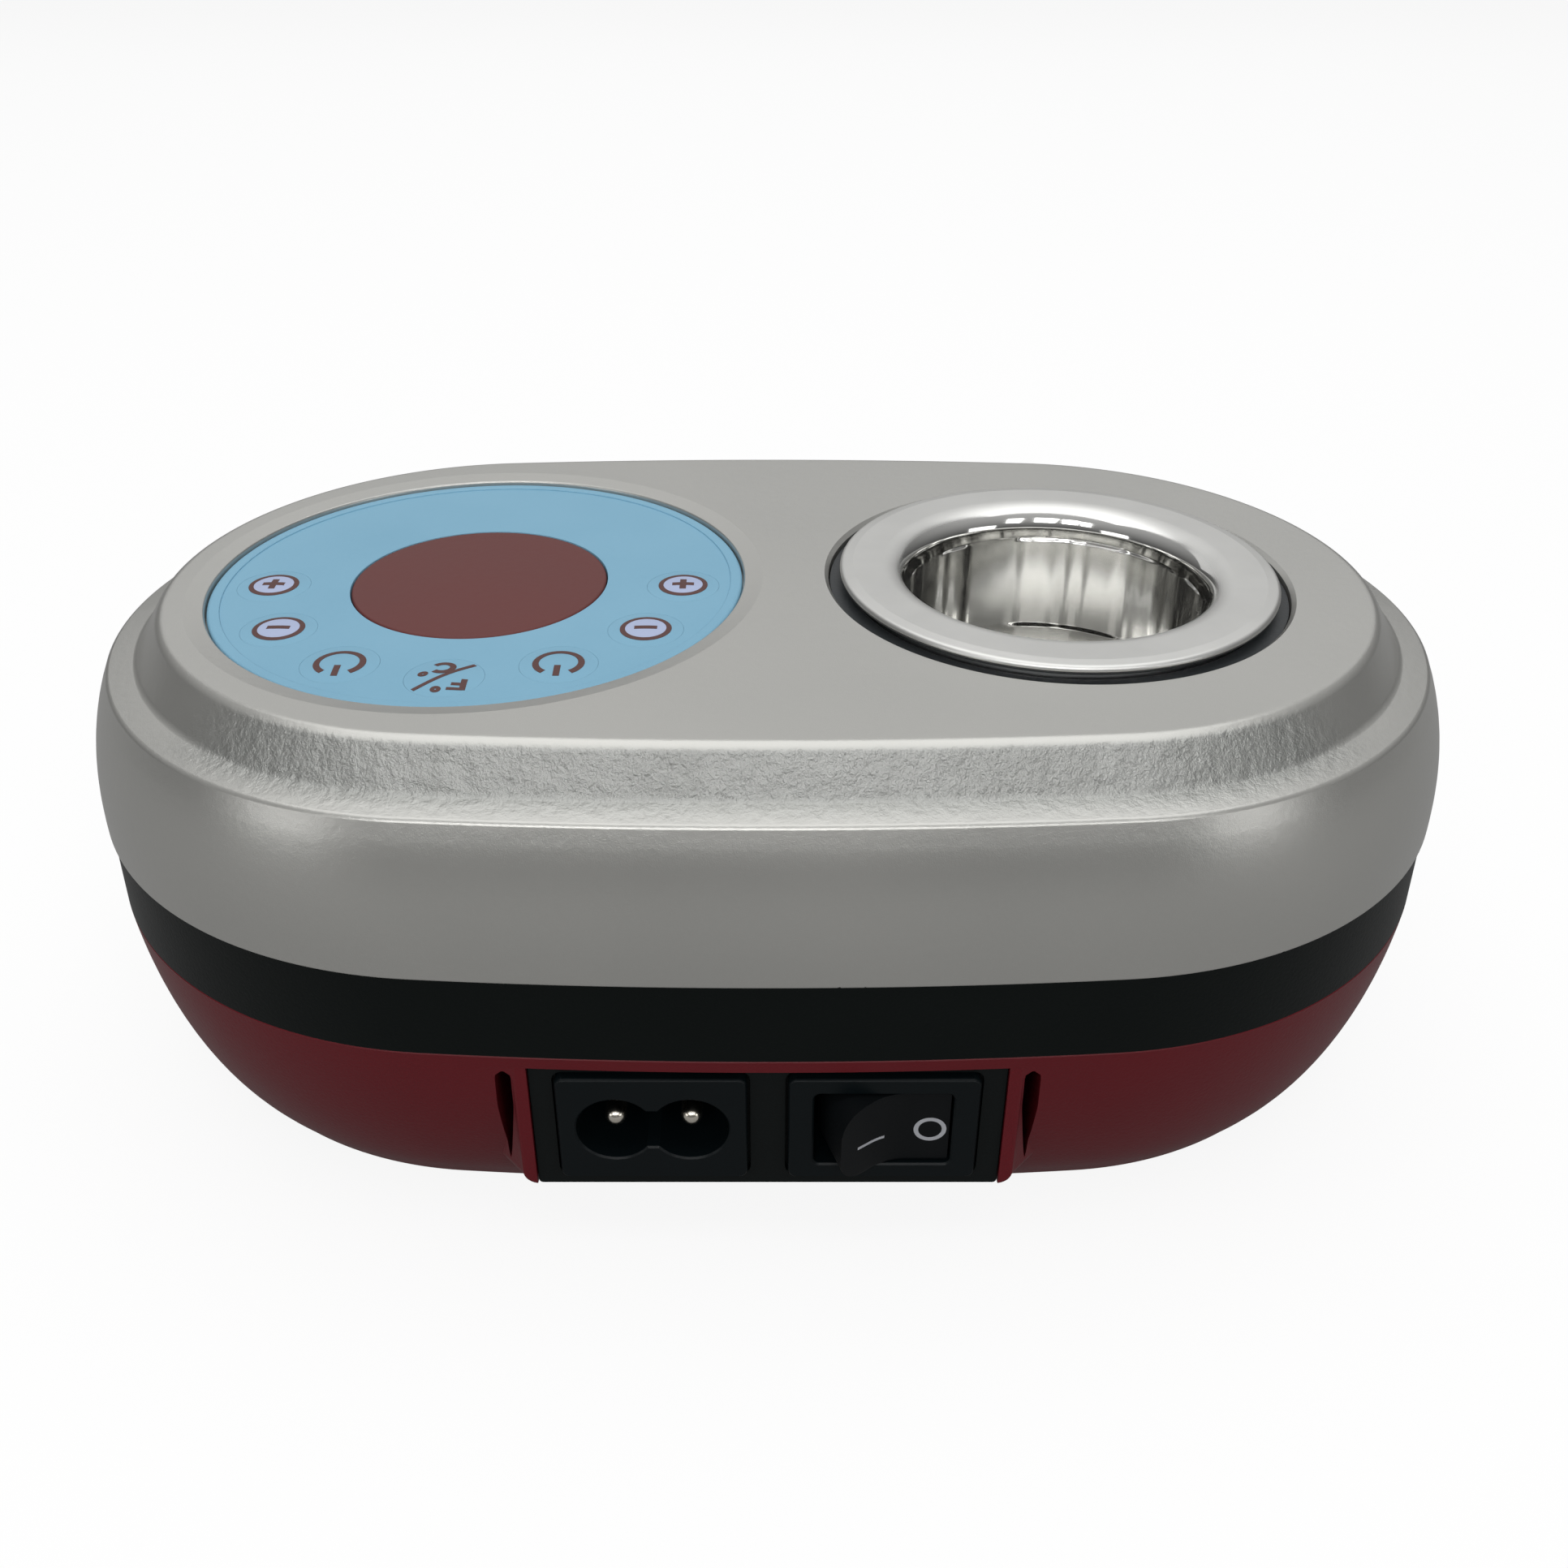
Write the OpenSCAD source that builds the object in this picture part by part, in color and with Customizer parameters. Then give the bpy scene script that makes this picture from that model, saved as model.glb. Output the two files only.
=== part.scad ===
// Wax heater for a dental bench: an oval housing in three stacked shells, a soft keypad on one
// side, a lift-out steel pot in a heated well on the other, and a mains inlet and switch behind.
// Origin: centre of the oval at the bottom of the feet. +X points to the pot, -Y to the inlet.

/* [Body] */
// Radius of the round ends of the base oval that every shell follows
end_r = 49.24; // [47:0.1:53]
// Distance from a round end's centre to the centre of the flatter sides' arc
arc_gap = 450; // [400:50:500]
// Height of the flat top above the table
top_z = 62; // [60:0.5:68]
// Height of the lower edge of the silver top shell
silver_z = 38.3; // [37:0.1:40]
// Height of the lower edge of the black band
band_z = 28; // [27:0.1:29]
// Height of the housing's underside
floor_z = 1.5; // [1:0.1:2.5]
// Wall thickness of the shells
wall = 2.2; // [1.8:0.1:2.6]

/* [Outline] */
// Inset of the flat top's edge from the base oval
plateau_in = 9.2; // [8:0.1:10]
// Inset of the foot of the raised top
step_in = 5.9; // [5:0.1:6.5]
// Inset of the shoulder's edge
shoulder_in = 2.3; // [2:0.1:2.8]
// Drop from the flat top to the foot of the raised top
step_drop = 5; // [4:0.1:6]
// Drop from the flat top to the shoulder's edge
shoulder_drop = 5.8; // [5:0.1:7]
// How far the silver shell's lower edge stands outside the base oval
silver_out = 1.4; // [1:0.1:1.8]
// How far the black band's lower edge stands outside the base oval
band_out = 1.25; // [1:0.05:1.4]
// How far the bowl draws in towards the floor
bowl_in = 10.1; // [8:0.1:12]
// Straight taper of the bowl's side
bowl_taper = 1.75; // [1:0.05:2.5]
// Depth at which the bowl's curve would turn flat
bowl_h = 27.6; // [27.2:0.1:30]

/* [Keypad] */
// Distance of the keypad's centre and of the pot's centre from the middle
side_x = 36; // [34:0.5:38]
// Radius of the round recess for the keypad
pad_r = 33; // [31:0.1:34]
// Depth of that recess
pad_depth = 1.8; // [1.5:0.1:2.2]
// Thickness of the silicone keypad
pad_t = 1; // [0.8:0.1:1.2]
// Radius of the ring on which the keys sit
key_ring_r = 25.5; // [24:0.1:27]
// Angle between neighbouring keys
key_pitch = 29; // [27:0.5:30]
// Radius of a key's cap
key_r = 4.3; // [3.5:0.1:4.6]
// Distance that a key travels
key_travel = 0.5; // [0.3:0.05:0.6]
// Radius of the display window
lens_r = 15.8; // [14:0.1:16.5]

/* [Pot] */
// Radius of the opening in the top shell
well_open_r = 28.4; // [27.8:0.1:29]
// Radius of the pot's flange
flange_r = 27; // [26:0.1:27.2]
// Height of the flange above the flat top
flange_up = 1.3; // [1:0.1:2]
// Inside radius of the pot
pot_r = 18.4; // [16:0.1:19]
// Depth of the pot below the flat top
pot_depth = 24; // [20:0.5:25]
// Thickness of the pot's steel
pot_t = 1; // [0.8:0.1:1.2]
// Clearance between the pot and the heated sleeve
pot_fit = 0.3; // [0.2:0.05:0.5]

/* [Heater] */
// Wall thickness of the aluminium sleeve
sleeve_t = 3; // [2.5:0.1:3.5]
// Thickness of the band heater
band_t = 1.3; // [1:0.1:1.5]
// Thickness of the insulation round the heater
wool_t = 2.9; // [2:0.1:3]
// Distance from the sleeve's bottom down to the heat shield's bottom
shield_drop = 7.2; // [6:0.1:9]

/* [Sockets] */
// Width of the black socket plate
plate_w = 52.8; // [50:0.2:56]
// Height of the socket plate's lower edge
plate_z = 8.4; // [8:0.2:10]
// Height of the socket plate's upper edge
plate_top = 26.3; // [26:0.1:26.6]
// Distance of the socket plate's face from the middle
plate_y = 50.5; // [50.2:0.1:51]
// Distance of both sockets from the middle
socket_x = 12.9; // [12.5:0.1:13.2]
// Height of both sockets' centres
socket_z = 17.7; // [17.4:0.1:18]
// Radius of an inlet pin
pin_r = 1.2; // [1.1:0.05:1.3]
// Distance between the inlet pins
pin_gap = 8.6; // [8.4:0.1:8.8]
// Angle through which the rocker swings
rocker_swing = 38; // [30:1:40]

/* [Hidden] */
$fn = 72;
// The arcs meet on the long side of a whole-number right triangle, so that they join exactly.
side_sin = 237 / 3125;
side_cos = 3116 / 3125;
end_c = arc_gap * side_sin;
side_c = arc_gap * side_cos;
side_r = end_r + arc_gap;
far = 100;
join = [end_c + far * side_sin, far * side_cos];
fit = 0.1;
step_z = top_z - step_drop;
shoulder_z = top_z - shoulder_drop;
under_z = top_z - wall;
inner_floor = floor_z + 2.5;
lip_h = 3;
low_lip_h = 1.5;
ring_in = 14;
core_in = 12.5;

foot_xy = [40, 28];
foot_r = 6;
post_xy = [end_c + end_r - 26.4, end_r - 22.7];
post_split = 22;
post_r = 3.6;
screw_r = 1.5;
screw_head_r = 2.8;
screw_seat = 10;
screw_l = 20;

pad_floor = top_z - pad_depth;
pad_top = pad_floor + pad_t;
pad_under = pad_floor - 2.4;
key_names = [0, 1, 2, 3, 4, 5, 6];
key_flange_r = key_r + 0.8;
key_flange_t = 0.3;
key_room = 0.1;
key_seat = pad_floor - key_flange_t - key_travel - key_room;
key_stem_r = 1.8;
key_stem_l = 2.65;
board_top = pad_under - 5.8;
board_t = 1.6;
board_r = 28;
standoffs = [[24, 40], [24, 140], [18.2, -90]];
display_size = [24, 14, 6.6];
tact_size = [6, 6, 3.5];
tact_up = 5;
header_at = [-19.5, -7];

flange_top = top_z + flange_up;
flange_t = 1.2;
fillet_r = 3.4;
pot_out_r = pot_r + pot_t;
pot_floor = top_z - pot_depth;
pot_corner = 6;
sleeve_in = pot_out_r + pot_fit;
sleeve_out = sleeve_in + sleeve_t;
sleeve_bottom = pot_floor - pot_t - pot_fit - sleeve_t;
shield_z = sleeve_bottom - shield_drop;
sleeve_flange_t = 2;
sleeve_flange_r = sleeve_out + 2.9;
band_r = sleeve_out + band_t;
wool_in = band_r + 0.2;
wool_r = wool_in + wool_t;
shield_in = wool_r + 0.2;
shield_t = 0.8;
shield_r = shield_in + shield_t;
collar_z = under_z - 2.5;
ear_r = 33;
ear_angles = [0, 120, 240];

plate_t = 2.4;
frame_w = plate_w + 3.6;
frame_y = plate_y + 0.4;
frame_back = 42;
slit_x = 29.6;
slit_z = [12.3, 25.9];
bezel = [21.6, 15.2];
bezel_up = 1;
inlet_cut = [20.2, 13.2];
recess_r = 4.4;
recess_x = 4.2;
recess_waist = 5.3;
recess_depth = 12;
rocker_window = [15.5, 10.6];
rocker_r = 7.6;
rocker_v = rocker_swing / 2;
rocker_valley = 1.5;
rocker_pivot_y = plate_y + bezel_up - 1.92;
axle_r = 1.2;
rocker_t = tan(rocker_v);
rocker_half = (sqrt(rocker_r * rocker_r * (1 + rocker_t * rocker_t) - rocker_valley * rocker_valley)
  - rocker_valley * rocker_t) / (1 + rocker_t * rocker_t);
rocker_tip = rocker_pivot_y + rocker_half * sin(rocker_v)
  + (rocker_valley + rocker_half * rocker_t) * cos(rocker_v);
centre_y = round((rocker_tip - (side_r - side_c + silver_out)) * 10) / 20;

power_board = [54, 54];
power_at = [-23, 5];
power_z = 9;
power_top = power_z + board_t;
transformer_at = [-36, 8];
header_h = 6;

// Points of a rounded corner at p, between the lines to a and to b.
function unit(v) = v / norm(v);
function corner(a, p, b, r, n = 4) =
  let (u = unit(a - p), v = unit(b - p), half = acos(u * v) / 2,
    c = p + unit(u + v) * r / sin(half), s = p + u * r / tan(half), e = p + v * r / tan(half),
    a0 = atan2(s.y - c.y, s.x - c.x), turn = atan2(e.y - c.y, e.x - c.x) - a0,
    sweep = turn > 180 ? turn - 360 : turn < -180 ? turn + 360 : turn)
  [for (i = [0:n]) c + r * [cos(a0 + sweep * i / n), sin(a0 + sweep * i / n)]];

// Offsets of the silver wall and of the bowl from the base oval, by height.
function silver_d(z) =
  silver_out - (silver_out + shoulder_in) * pow((z - silver_z) / (shoulder_z - silver_z), 2.35);
function bowl_d(z) =
  let (t = (band_z - z) / bowl_h) band_out - bowl_taper * t - bowl_in * (1 - sqrt(1 - t * t));

// The part of the plan beyond the +X join, and the part between the joins on the +Y side.
module end_wedge() {
  polygon([[end_c, 0], join, [join.x + far, join.y], [join.x + far, -join.y], [join.x, -join.y]]);
}

module side_wedge() {
  polygon([[end_c, 0], join, [-join.x, join.y], [-end_c, 0]]);
}

// Sweeps a profile, drawn as offset and height, round the base oval.
module sweep_oval() {
  for (turn = [0, 180])
    rotate([0, 0, turn]) {
      intersection() {
        translate([end_c, 0, 0]) rotate_extrude($fn = 120) translate([end_r, 0]) children();
        linear_extrude(height = far) end_wedge();
      }
      intersection() {
        translate([0, -side_c, 0]) rotate_extrude($fn = 360) translate([side_r, 0]) children();
        linear_extrude(height = far) side_wedge();
      }
    }
}

// The base oval, grown by d.
module oval(d) {
  for (turn = [0, 180])
    rotate([0, 0, turn]) {
      translate([end_c, 0]) circle(r = end_r + d, $fn = 120);
      intersection() {
        translate([0, -side_c]) circle(r = side_r + d, $fn = 720);
        side_wedge();
      }
    }
}

// Moves the oval along Y, so that the origin lies midway between its far side and the rocker.
module placed() {
  translate([0, centre_y, 0]) children();
}

module at_corners(xy) {
  for (x = [-1, 1], y = [-1, 1]) translate([x * xy.x, y * xy.y, 0]) children();
}

module at_pad() {
  translate([-side_x, 0, 0]) children();
}

module at_pot() {
  translate([side_x, 0, 0]) children();
}

module at_key(i) {
  at_pad() rotate([0, 0, -90 + (i - 3) * key_pitch]) translate([key_ring_r, 0, 0]) children();
}

module at_standoffs() {
  at_pad()
    for (s = standoffs) rotate([0, 0, s[1]]) translate([s[0], 0, 0]) children();
}

module at_ears() {
  at_pot()
    for (a = ear_angles) rotate([0, 0, a]) translate([ear_r, 0, 0]) children();
}

// A rounded rectangle that stands in the XZ plane and runs from y0 to y1.
module xz_block(size, r, y0, y1) {
  translate([0, y1, 0])
    rotate([90, 0, 0])
      linear_extrude(height = y1 - y0) {
        square([size.x - 2 * r, size.y], center = true);
        square([size.x, size.y - 2 * r], center = true);
        for (x = [-1, 1], y = [-1, 1])
          translate([x * (size.x / 2 - r), y * (size.y / 2 - r)]) circle(r = r, $fn = 24);
      }
}

module ring(r0, r1, z0, z1) {
  difference() {
    translate([0, 0, z0]) cylinder(r = r1, h = z1 - z0);
    translate([0, 0, z0 - 1]) cylinder(r = r0, h = z1 - z0 + 2);
  }
}

// A wire or lead through a list of points.
module wire(points, r) {
  for (i = [0:len(points) - 2]) {
    run = points[i + 1] - points[i];
    translate(points[i])
      rotate([0, acos(run.z / norm(run)), atan2(run.y, run.x)])
        cylinder(r = r, h = norm(run), $fn = 20);
    if (i > 0) translate(points[i]) sphere(r = r * 1.2, $fn = 20);
  }
}

module top_profile() {
  edge = [-plateau_in, top_z];
  foot = [-step_in, step_z];
  brow = [-shoulder_in, shoulder_z];
  outer = concat(
    [[-ring_in, top_z]],
    corner([-ring_in, top_z], edge, foot, 1.6),
    corner(edge, foot, brow, 1.2),
    corner(foot, brow, [silver_d(shoulder_z - 2), shoulder_z - 2], 0.8),
    [for (z = [shoulder_z - 2:-3.2:silver_z + 1]) [silver_d(z), z]],
    [[silver_out, silver_z]]);
  inner = concat(
    [[silver_out - wall, silver_z]],
    [for (z = [silver_z + 5:4.5:shoulder_z - 2.4]) [silver_d(z) - wall, z]],
    [[-step_in - 1.5, step_z - wall], [-plateau_in - 1.5, under_z], [-ring_in, under_z]]);
  polygon(concat(outer, inner));
}

module top_shell() {
  color("silver") placed()
    difference() {
      union() {
        sweep_oval() top_profile();
        translate([0, 0, under_z]) linear_extrude(height = wall) oval(-core_in);
        at_pad() translate([0, 0, pad_under]) cylinder(r = pad_r + 1.5, h = top_z - pad_under - 1);
        at_corners(post_xy)
          translate([0, 0, post_split]) cylinder(r = post_r, h = under_z - post_split + 1);
        at_standoffs()
          translate([0, 0, board_top]) cylinder(r = 2.4, h = pad_under - board_top + 1);
        at_ears() translate([0, 0, collar_z]) cylinder(r = 3.4, h = under_z - collar_z + 1);
      }
      at_pad() translate([0, 0, pad_floor]) cylinder(r = pad_r, h = 5);
      at_pad() translate([0, 0, top_z - 0.4]) cylinder(r1 = pad_r, r2 = pad_r + 3, h = 0.5);
      at_pad() translate([0, 0, pad_floor - 1]) cylinder(r = lens_r + fit, h = 5);
      at_pad() translate([0, 0, pad_under - 5]) cylinder(r = lens_r - 1.2, h = 10);
      for (i = key_names) at_key(i) {
        translate([0, 0, pad_under - 5]) cylinder(r = key_stem_r + 0.25, h = 10);
        translate([0, 0, key_seat]) cylinder(r = key_flange_r + 0.25, h = 5);
      }
      at_pot() translate([0, 0, under_z - 5]) cylinder(r = well_open_r, h = 10, $fn = 96);
      at_pot()
        translate([0, 0, top_z - 0.5])
          cylinder(r1 = well_open_r, r2 = well_open_r + 1.2, h = 1.2, $fn = 96);
      at_corners(post_xy)
        translate([0, 0, post_split - 1]) cylinder(r = screw_r, h = 20, $fn = 32);
      at_standoffs() translate([0, 0, board_top - 1]) cylinder(r = 1, h = 6, $fn = 24);
      at_ears() translate([0, 0, collar_z - 8]) cylinder(r = 1.25, h = 9, $fn = 24);
      at_pot() translate([0, 0, collar_z - 1]) cylinder(r = 31.6, h = 3.5 - fit);
    }
}

module middle_band() {
  color("#1b1f22") placed()
    sweep_oval()
      polygon([[band_out, band_z], [silver_out - 0.4, silver_z],
        [silver_out - wall - 2 * fit, silver_z], [silver_out - wall - 2 * fit, silver_z + lip_h],
        [silver_out - wall - 1.6, silver_z + lip_h], [band_out - wall - 1.8, band_z - low_lip_h],
        [band_out - wall - 0.4, band_z - low_lip_h], [band_out - wall - fit, band_z]]);
}

module bowl_profile() {
  foot = floor_z + 2;
  polygon(concat(
    [[-ring_in, inner_floor], [-ring_in, floor_z]],
    corner([-ring_in, floor_z], [bowl_d(floor_z + 0.6), floor_z], [bowl_d(foot), foot], 1.2, 3),
    [for (i = [0:9]) let (z = foot + (band_z - foot) * (1 - pow(1 - i / 9, 1.4))) [bowl_d(z), z]],
    [[band_out - wall, band_z]],
    [for (i = [6:-1:0])
      let (z = inner_floor + 1.6 + (band_z - inner_floor - 1.6) * (1 - pow(1 - i / 7, 1.3)))
      [bowl_d(z) - wall, z]]));
}

module socket_frame_shape() {
  r = 3.5;
  z0 = plate_z;
  z1 = band_z - low_lip_h - 0.2;
  w = frame_w;
  translate([-w / 2, z0 + r]) square([w, z1 - z0 - r]);
  translate([-w / 2 + r, z0]) square([w - 2 * r, r + 1]);
  for (x = [-1, 1]) translate([x * (w / 2 - r), z0 + r]) circle(r = r, $fn = 40);
}

module slit_shape() {
  h = slit_z[1] - slit_z[0];
  bow = 28;
  inset = bow - 0.8;
  translate([0, (slit_z[0] + slit_z[1]) / 2])
    intersection() {
      translate([inset, 0]) circle(r = bow, $fn = 96);
      translate([-inset, 0]) circle(r = bow, $fn = 96);
      square([4, h], center = true);
    }
}

module bottom_shell() {
  color("#5a1a20") placed()
    difference() {
      union() {
        sweep_oval() bowl_profile();
        translate([0, 0, floor_z]) linear_extrude(height = inner_floor - floor_z) oval(-core_in);
        intersection() {
          translate([0, -frame_back, 0])
            rotate([90, 0, 0])
              linear_extrude(height = frame_y - frame_back) socket_frame_shape();
          translate([-40, -60, 0]) cube([80, 60, band_z - low_lip_h - 0.2]);
        }
        at_corners(post_xy)
          translate([0, 0, floor_z + 1]) cylinder(r = post_r + 0.6, h = post_split - floor_z - 1);
        power_posts() translate([0, 0, inner_floor - 1]) cylinder(r = 3, h = power_z - inner_floor + 1);
      }
      translate([-plate_w / 2 - fit, -60, plate_z - 5])
        cube([plate_w + 2 * fit, 60 - plate_y + plate_t, plate_top + fit - plate_z + 5]);
      translate([-plate_w / 2 + 1.6, -60, plate_z + 1.2])
        cube([plate_w - 3.2, 60 - 40, plate_top - plate_z - 1.9]);
      for (s = [-1, 1])
        translate([s * slit_x, -40, 0]) rotate([90, 0, 0]) linear_extrude(height = 20) slit_shape();
      at_corners(post_xy) {
        translate([0, 0, -1]) cylinder(r = screw_r + 0.2, h = post_split + 5, $fn = 32);
        translate([0, 0, -1]) cylinder(r = screw_head_r + 0.3, h = screw_seat + 1, $fn = 40);
      }
      at_corners(foot_xy) translate([0, 0, floor_z - 1]) cylinder(r = foot_r, h = 1.8);
      power_posts() translate([0, 0, inner_floor]) cylinder(r = 1, h = 10, $fn = 24);
      for (i = [-4:4])
        translate([i * 6 - 1, 18, floor_z - 1]) cube([2, 18, 6]);
    }
}

module base_feet() {
  color("#202020") placed()
    at_corners(foot_xy) {
      cylinder(r1 = foot_r - 0.8, r2 = foot_r - 0.2, h = 0.8);
      translate([0, 0, 0.8]) cylinder(r = foot_r - 0.2, h = floor_z);
    }
}

module shell_screws() {
  color("#9a9a98") placed()
    at_corners(post_xy)
      difference() {
        union() {
          translate([0, 0, screw_seat - 2]) cylinder(r = screw_head_r, h = 2, $fn = 32);
          translate([0, 0, screw_seat]) cylinder(r = screw_r, h = screw_l, $fn = 24);
        }
        for (a = [0, 90])
          rotate([0, 0, a]) translate([-1.7, -0.35, screw_seat - 3]) cube([3.4, 0.7, 2.2]);
      }
}

module rating_label() {
  color("#c9cacb") placed() translate([-27, -24, floor_z - 0.2]) cube([54, 30, 0.2]);
}

module keypad_membrane() {
  color("#7fb4d6") placed()
    difference() {
      at_pad() translate([0, 0, pad_floor]) cylinder(r = pad_r - fit, h = pad_t, $fn = 96);
      at_pad() translate([0, 0, pad_floor - 1]) cylinder(r = lens_r + fit, h = 4);
      for (i = key_names)
        at_key(i) translate([0, 0, pad_floor - 1]) cylinder(r = key_r + 0.2, h = 4, $fn = 48);
    }
}

// One key: a domed cap above the keypad, a flange under it and a stem down to its switch.
module key(i) {
  cap_up = 0.35;
  dome_r = 18;
  edge_z = pad_top + 0.1;
  color("#8bbbd9") placed() at_key(i) {
    translate([0, 0, pad_floor - key_flange_t])
      cylinder(r = key_flange_r, h = key_flange_t, $fn = 48);
    translate([0, 0, pad_floor - key_flange_t])
      cylinder(r = key_r, h = edge_z - pad_floor + key_flange_t, $fn = 48);
    intersection() {
      translate([0, 0, edge_z - 0.4]) cylinder(r = key_r, h = 3, $fn = 48);
      translate([0, 0, edge_z + cap_up - dome_r]) sphere(r = dome_r, $fn = 120);
    }
    translate([0, 0, pad_floor - key_stem_l]) cylinder(r = key_stem_r, h = key_stem_l, $fn = 32);
  }
}

module key_plus_left() {
  key(0);
}

module key_minus_left() {
  key(1);
}

module key_power_left() {
  key(2);
}

module key_unit() {
  key(3);
}

module key_power_right() {
  key(4);
}

module key_minus_right() {
  key(5);
}

module key_plus_right() {
  key(6);
}

module display_lens() {
  color("#6d3a38") placed()
    at_pad() {
      translate([0, 0, pad_floor - 1]) cylinder(r = lens_r, h = pad_t + 0.8);
      translate([0, 0, pad_top - 0.2]) cylinder(r1 = lens_r, r2 = lens_r - 0.3, h = 0.2);
    }
}

module display_module() {
  color("#2a2a2c") placed()
    at_pad()
      translate([0, 0, board_top + display_size.z / 2]) cube(display_size, center = true);
}

module control_board() {
  color("#1f5a34") placed()
    difference() {
      at_pad() translate([0, 0, board_top - board_t]) cylinder(r = board_r, h = board_t);
      at_standoffs() translate([0, 0, board_top - 3]) cylinder(r = 1.1, h = 5, $fn = 24);
    }
}

module control_board_screws() {
  color("#b0b0ae") placed()
    at_standoffs() {
      translate([0, 0, board_top - board_t - 1.2]) cylinder(r = 2, h = 1.2, $fn = 24);
      translate([0, 0, board_top - board_t]) cylinder(r = 1, h = 5, $fn = 24);
    }
}

module control_chip() {
  color("#242426") placed()
    at_pad() {
      translate([-5, 14.5, board_top]) cube([10, 10, 1.6]);
      translate([10, 13, board_top]) cube([5, 4, 1.5]);
      translate([-16, 13, board_top]) cube([6, 3.4, 1.4]);
    }
}

module tact_switches() {
  color("#303236") placed()
    for (i = key_names) at_key(i) {
      translate([0, 0, board_top + tact_size.z / 2]) cube(tact_size, center = true);
      translate([0, 0, board_top]) cylinder(r = 1.7, h = tact_up, $fn = 24);
    }
}

module ribbon_headers() {
  color("#e6e2d6") placed() {
    for (z = [board_top - board_t - header_h, power_top])
      translate([header_at.x, header_at.y, z]) cube([5, 16, header_h]);
  }
}

module ribbon_cable() {
  color("#9aa0a6") placed()
    translate([header_at.x + 2, header_at.y + 1.6, power_top + header_h])
      cube([1, 12.8, board_top - board_t - power_top - 2 * header_h]);
}

// The pot's half section: flange, rolled mouth, wall and rounded floor.
module pot_profile() {
  rim = 0.6;
  mouth = [pot_r, flange_top - fillet_r - 0.2];
  outer = [
    for (a = [0:15:90]) [0, pot_floor - pot_t] + [pot_out_r - pot_corner, pot_corner]
      + pot_corner * [sin(a), -cos(a)]
  ];
  inner = [
    for (a = [90:-15:0]) [0, pot_floor] + [pot_r - pot_corner + pot_t, pot_corner - pot_t]
      + (pot_corner - pot_t) * [sin(a), -cos(a)]
  ];
  roll = [
    for (a = [180:-15:90]) [pot_r + fillet_r, flange_top - fillet_r] + fillet_r * [cos(a), sin(a)]
  ];
  polygon(concat(
    [[0, pot_floor - pot_t]],
    outer,
    [[pot_out_r, flange_top - flange_t - 2.4], [pot_out_r + 2.4, flange_top - flange_t]],
    [for (a = [-90:30:90]) [flange_r - rim, flange_top - rim - 0.15] + rim * [cos(a), sin(a)]],
    [[flange_r - 1.6, flange_top]],
    [for (i = [len(roll) - 1:-1:0]) roll[i]],
    [[pot_r, mouth.y - 0.4], [pot_r + 0.3, mouth.y - 0.7], [pot_r + 0.3, pot_floor + 8]],
    inner,
    [[0, pot_floor]]));
}

module wax_pot() {
  color("#c8c8c4") placed() at_pot() rotate_extrude($fn = 120) pot_profile();
}

module well_collar() {
  color("#2b2e31") placed()
    difference() {
      union() {
        at_pot() ring(sleeve_out + 0.2, 31.4, collar_z, under_z - fit);
        at_pot() ring(sleeve_out + 0.2, well_open_r - 0.2, collar_z, under_z);
        at_pot() ring(sleeve_flange_r + 0.3, well_open_r - 0.2, under_z - 1, top_z - 1);
      }
      at_ears() translate([0, 0, collar_z - 1]) cylinder(r = 3.5, h = 10);
    }
}

module heater_well() {
  color("#a9adb0") placed()
    difference() {
      at_pot() {
        translate([0, 0, sleeve_bottom])
          cylinder(r = sleeve_out, h = under_z + sleeve_flange_t - sleeve_bottom);
        translate([0, 0, under_z]) cylinder(r = sleeve_flange_r, h = sleeve_flange_t);
      }
      at_pot() translate([0, 0, sleeve_bottom + sleeve_t]) cylinder(r = sleeve_in, h = 60);
      at_pot()
        translate([0, 0, under_z + sleeve_flange_t - 2.6])
          cylinder(r1 = sleeve_in, r2 = sleeve_in + 3, h = 3);
      at_pot() translate([8, 0, sleeve_bottom - 1]) cylinder(r = 2, h = 3, $fn = 32);
    }
}

module band_heater() {
  z0 = sleeve_bottom + 4;
  z1 = sleeve_bottom + 18;
  color("#c2a15a") placed()
    difference() {
      at_pot() {
        ring(sleeve_out, band_r, z0, z1);
        for (y = [-4.4, 3.2]) translate([-band_r - 4.8, y, z0 + 4]) cube([5.4, 1.2, 6]);
      }
      at_pot() translate([-band_r - 2, -3.2, z0 - 1]) cube([6, 6.4, 16]);
    }
}

module insulation_ring() {
  color("#d9d5c8") placed()
    difference() {
      at_pot() ring(wool_in, wool_r, sleeve_bottom + 2, collar_z - 1);
      at_pot() translate([-wool_r - 2, -5, sleeve_bottom]) cube([8, 10, 20]);
    }
}

module heat_shield() {
  color("#b9bcbe") placed()
    difference() {
      at_pot() {
        ring(shield_in, shield_r, shield_z, collar_z);
        translate([0, 0, shield_z]) cylinder(r = shield_r, h = shield_t);
        ring(shield_in, 31.2, collar_z - shield_t, collar_z);
        for (a = ear_angles)
          rotate([0, 0, a]) translate([ear_r, 0, collar_z - shield_t]) cylinder(r = 3.4, h = shield_t);
      }
      at_ears() translate([0, 0, collar_z - 3]) cylinder(r = 1.4, h = 5, $fn = 24);
      at_pot() translate([-shield_r - 2, -5, sleeve_bottom + 2]) cube([6, 10, 16]);
      at_pot() translate([0, 0, shield_z - 1]) cylinder(r = 6, h = 4);
      at_pot() translate([0, 0, shield_z - 1]) rotate([0, 0, 45]) translate([14, 0, 0]) cylinder(r = 2.4, h = 4);
    }
}

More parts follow.
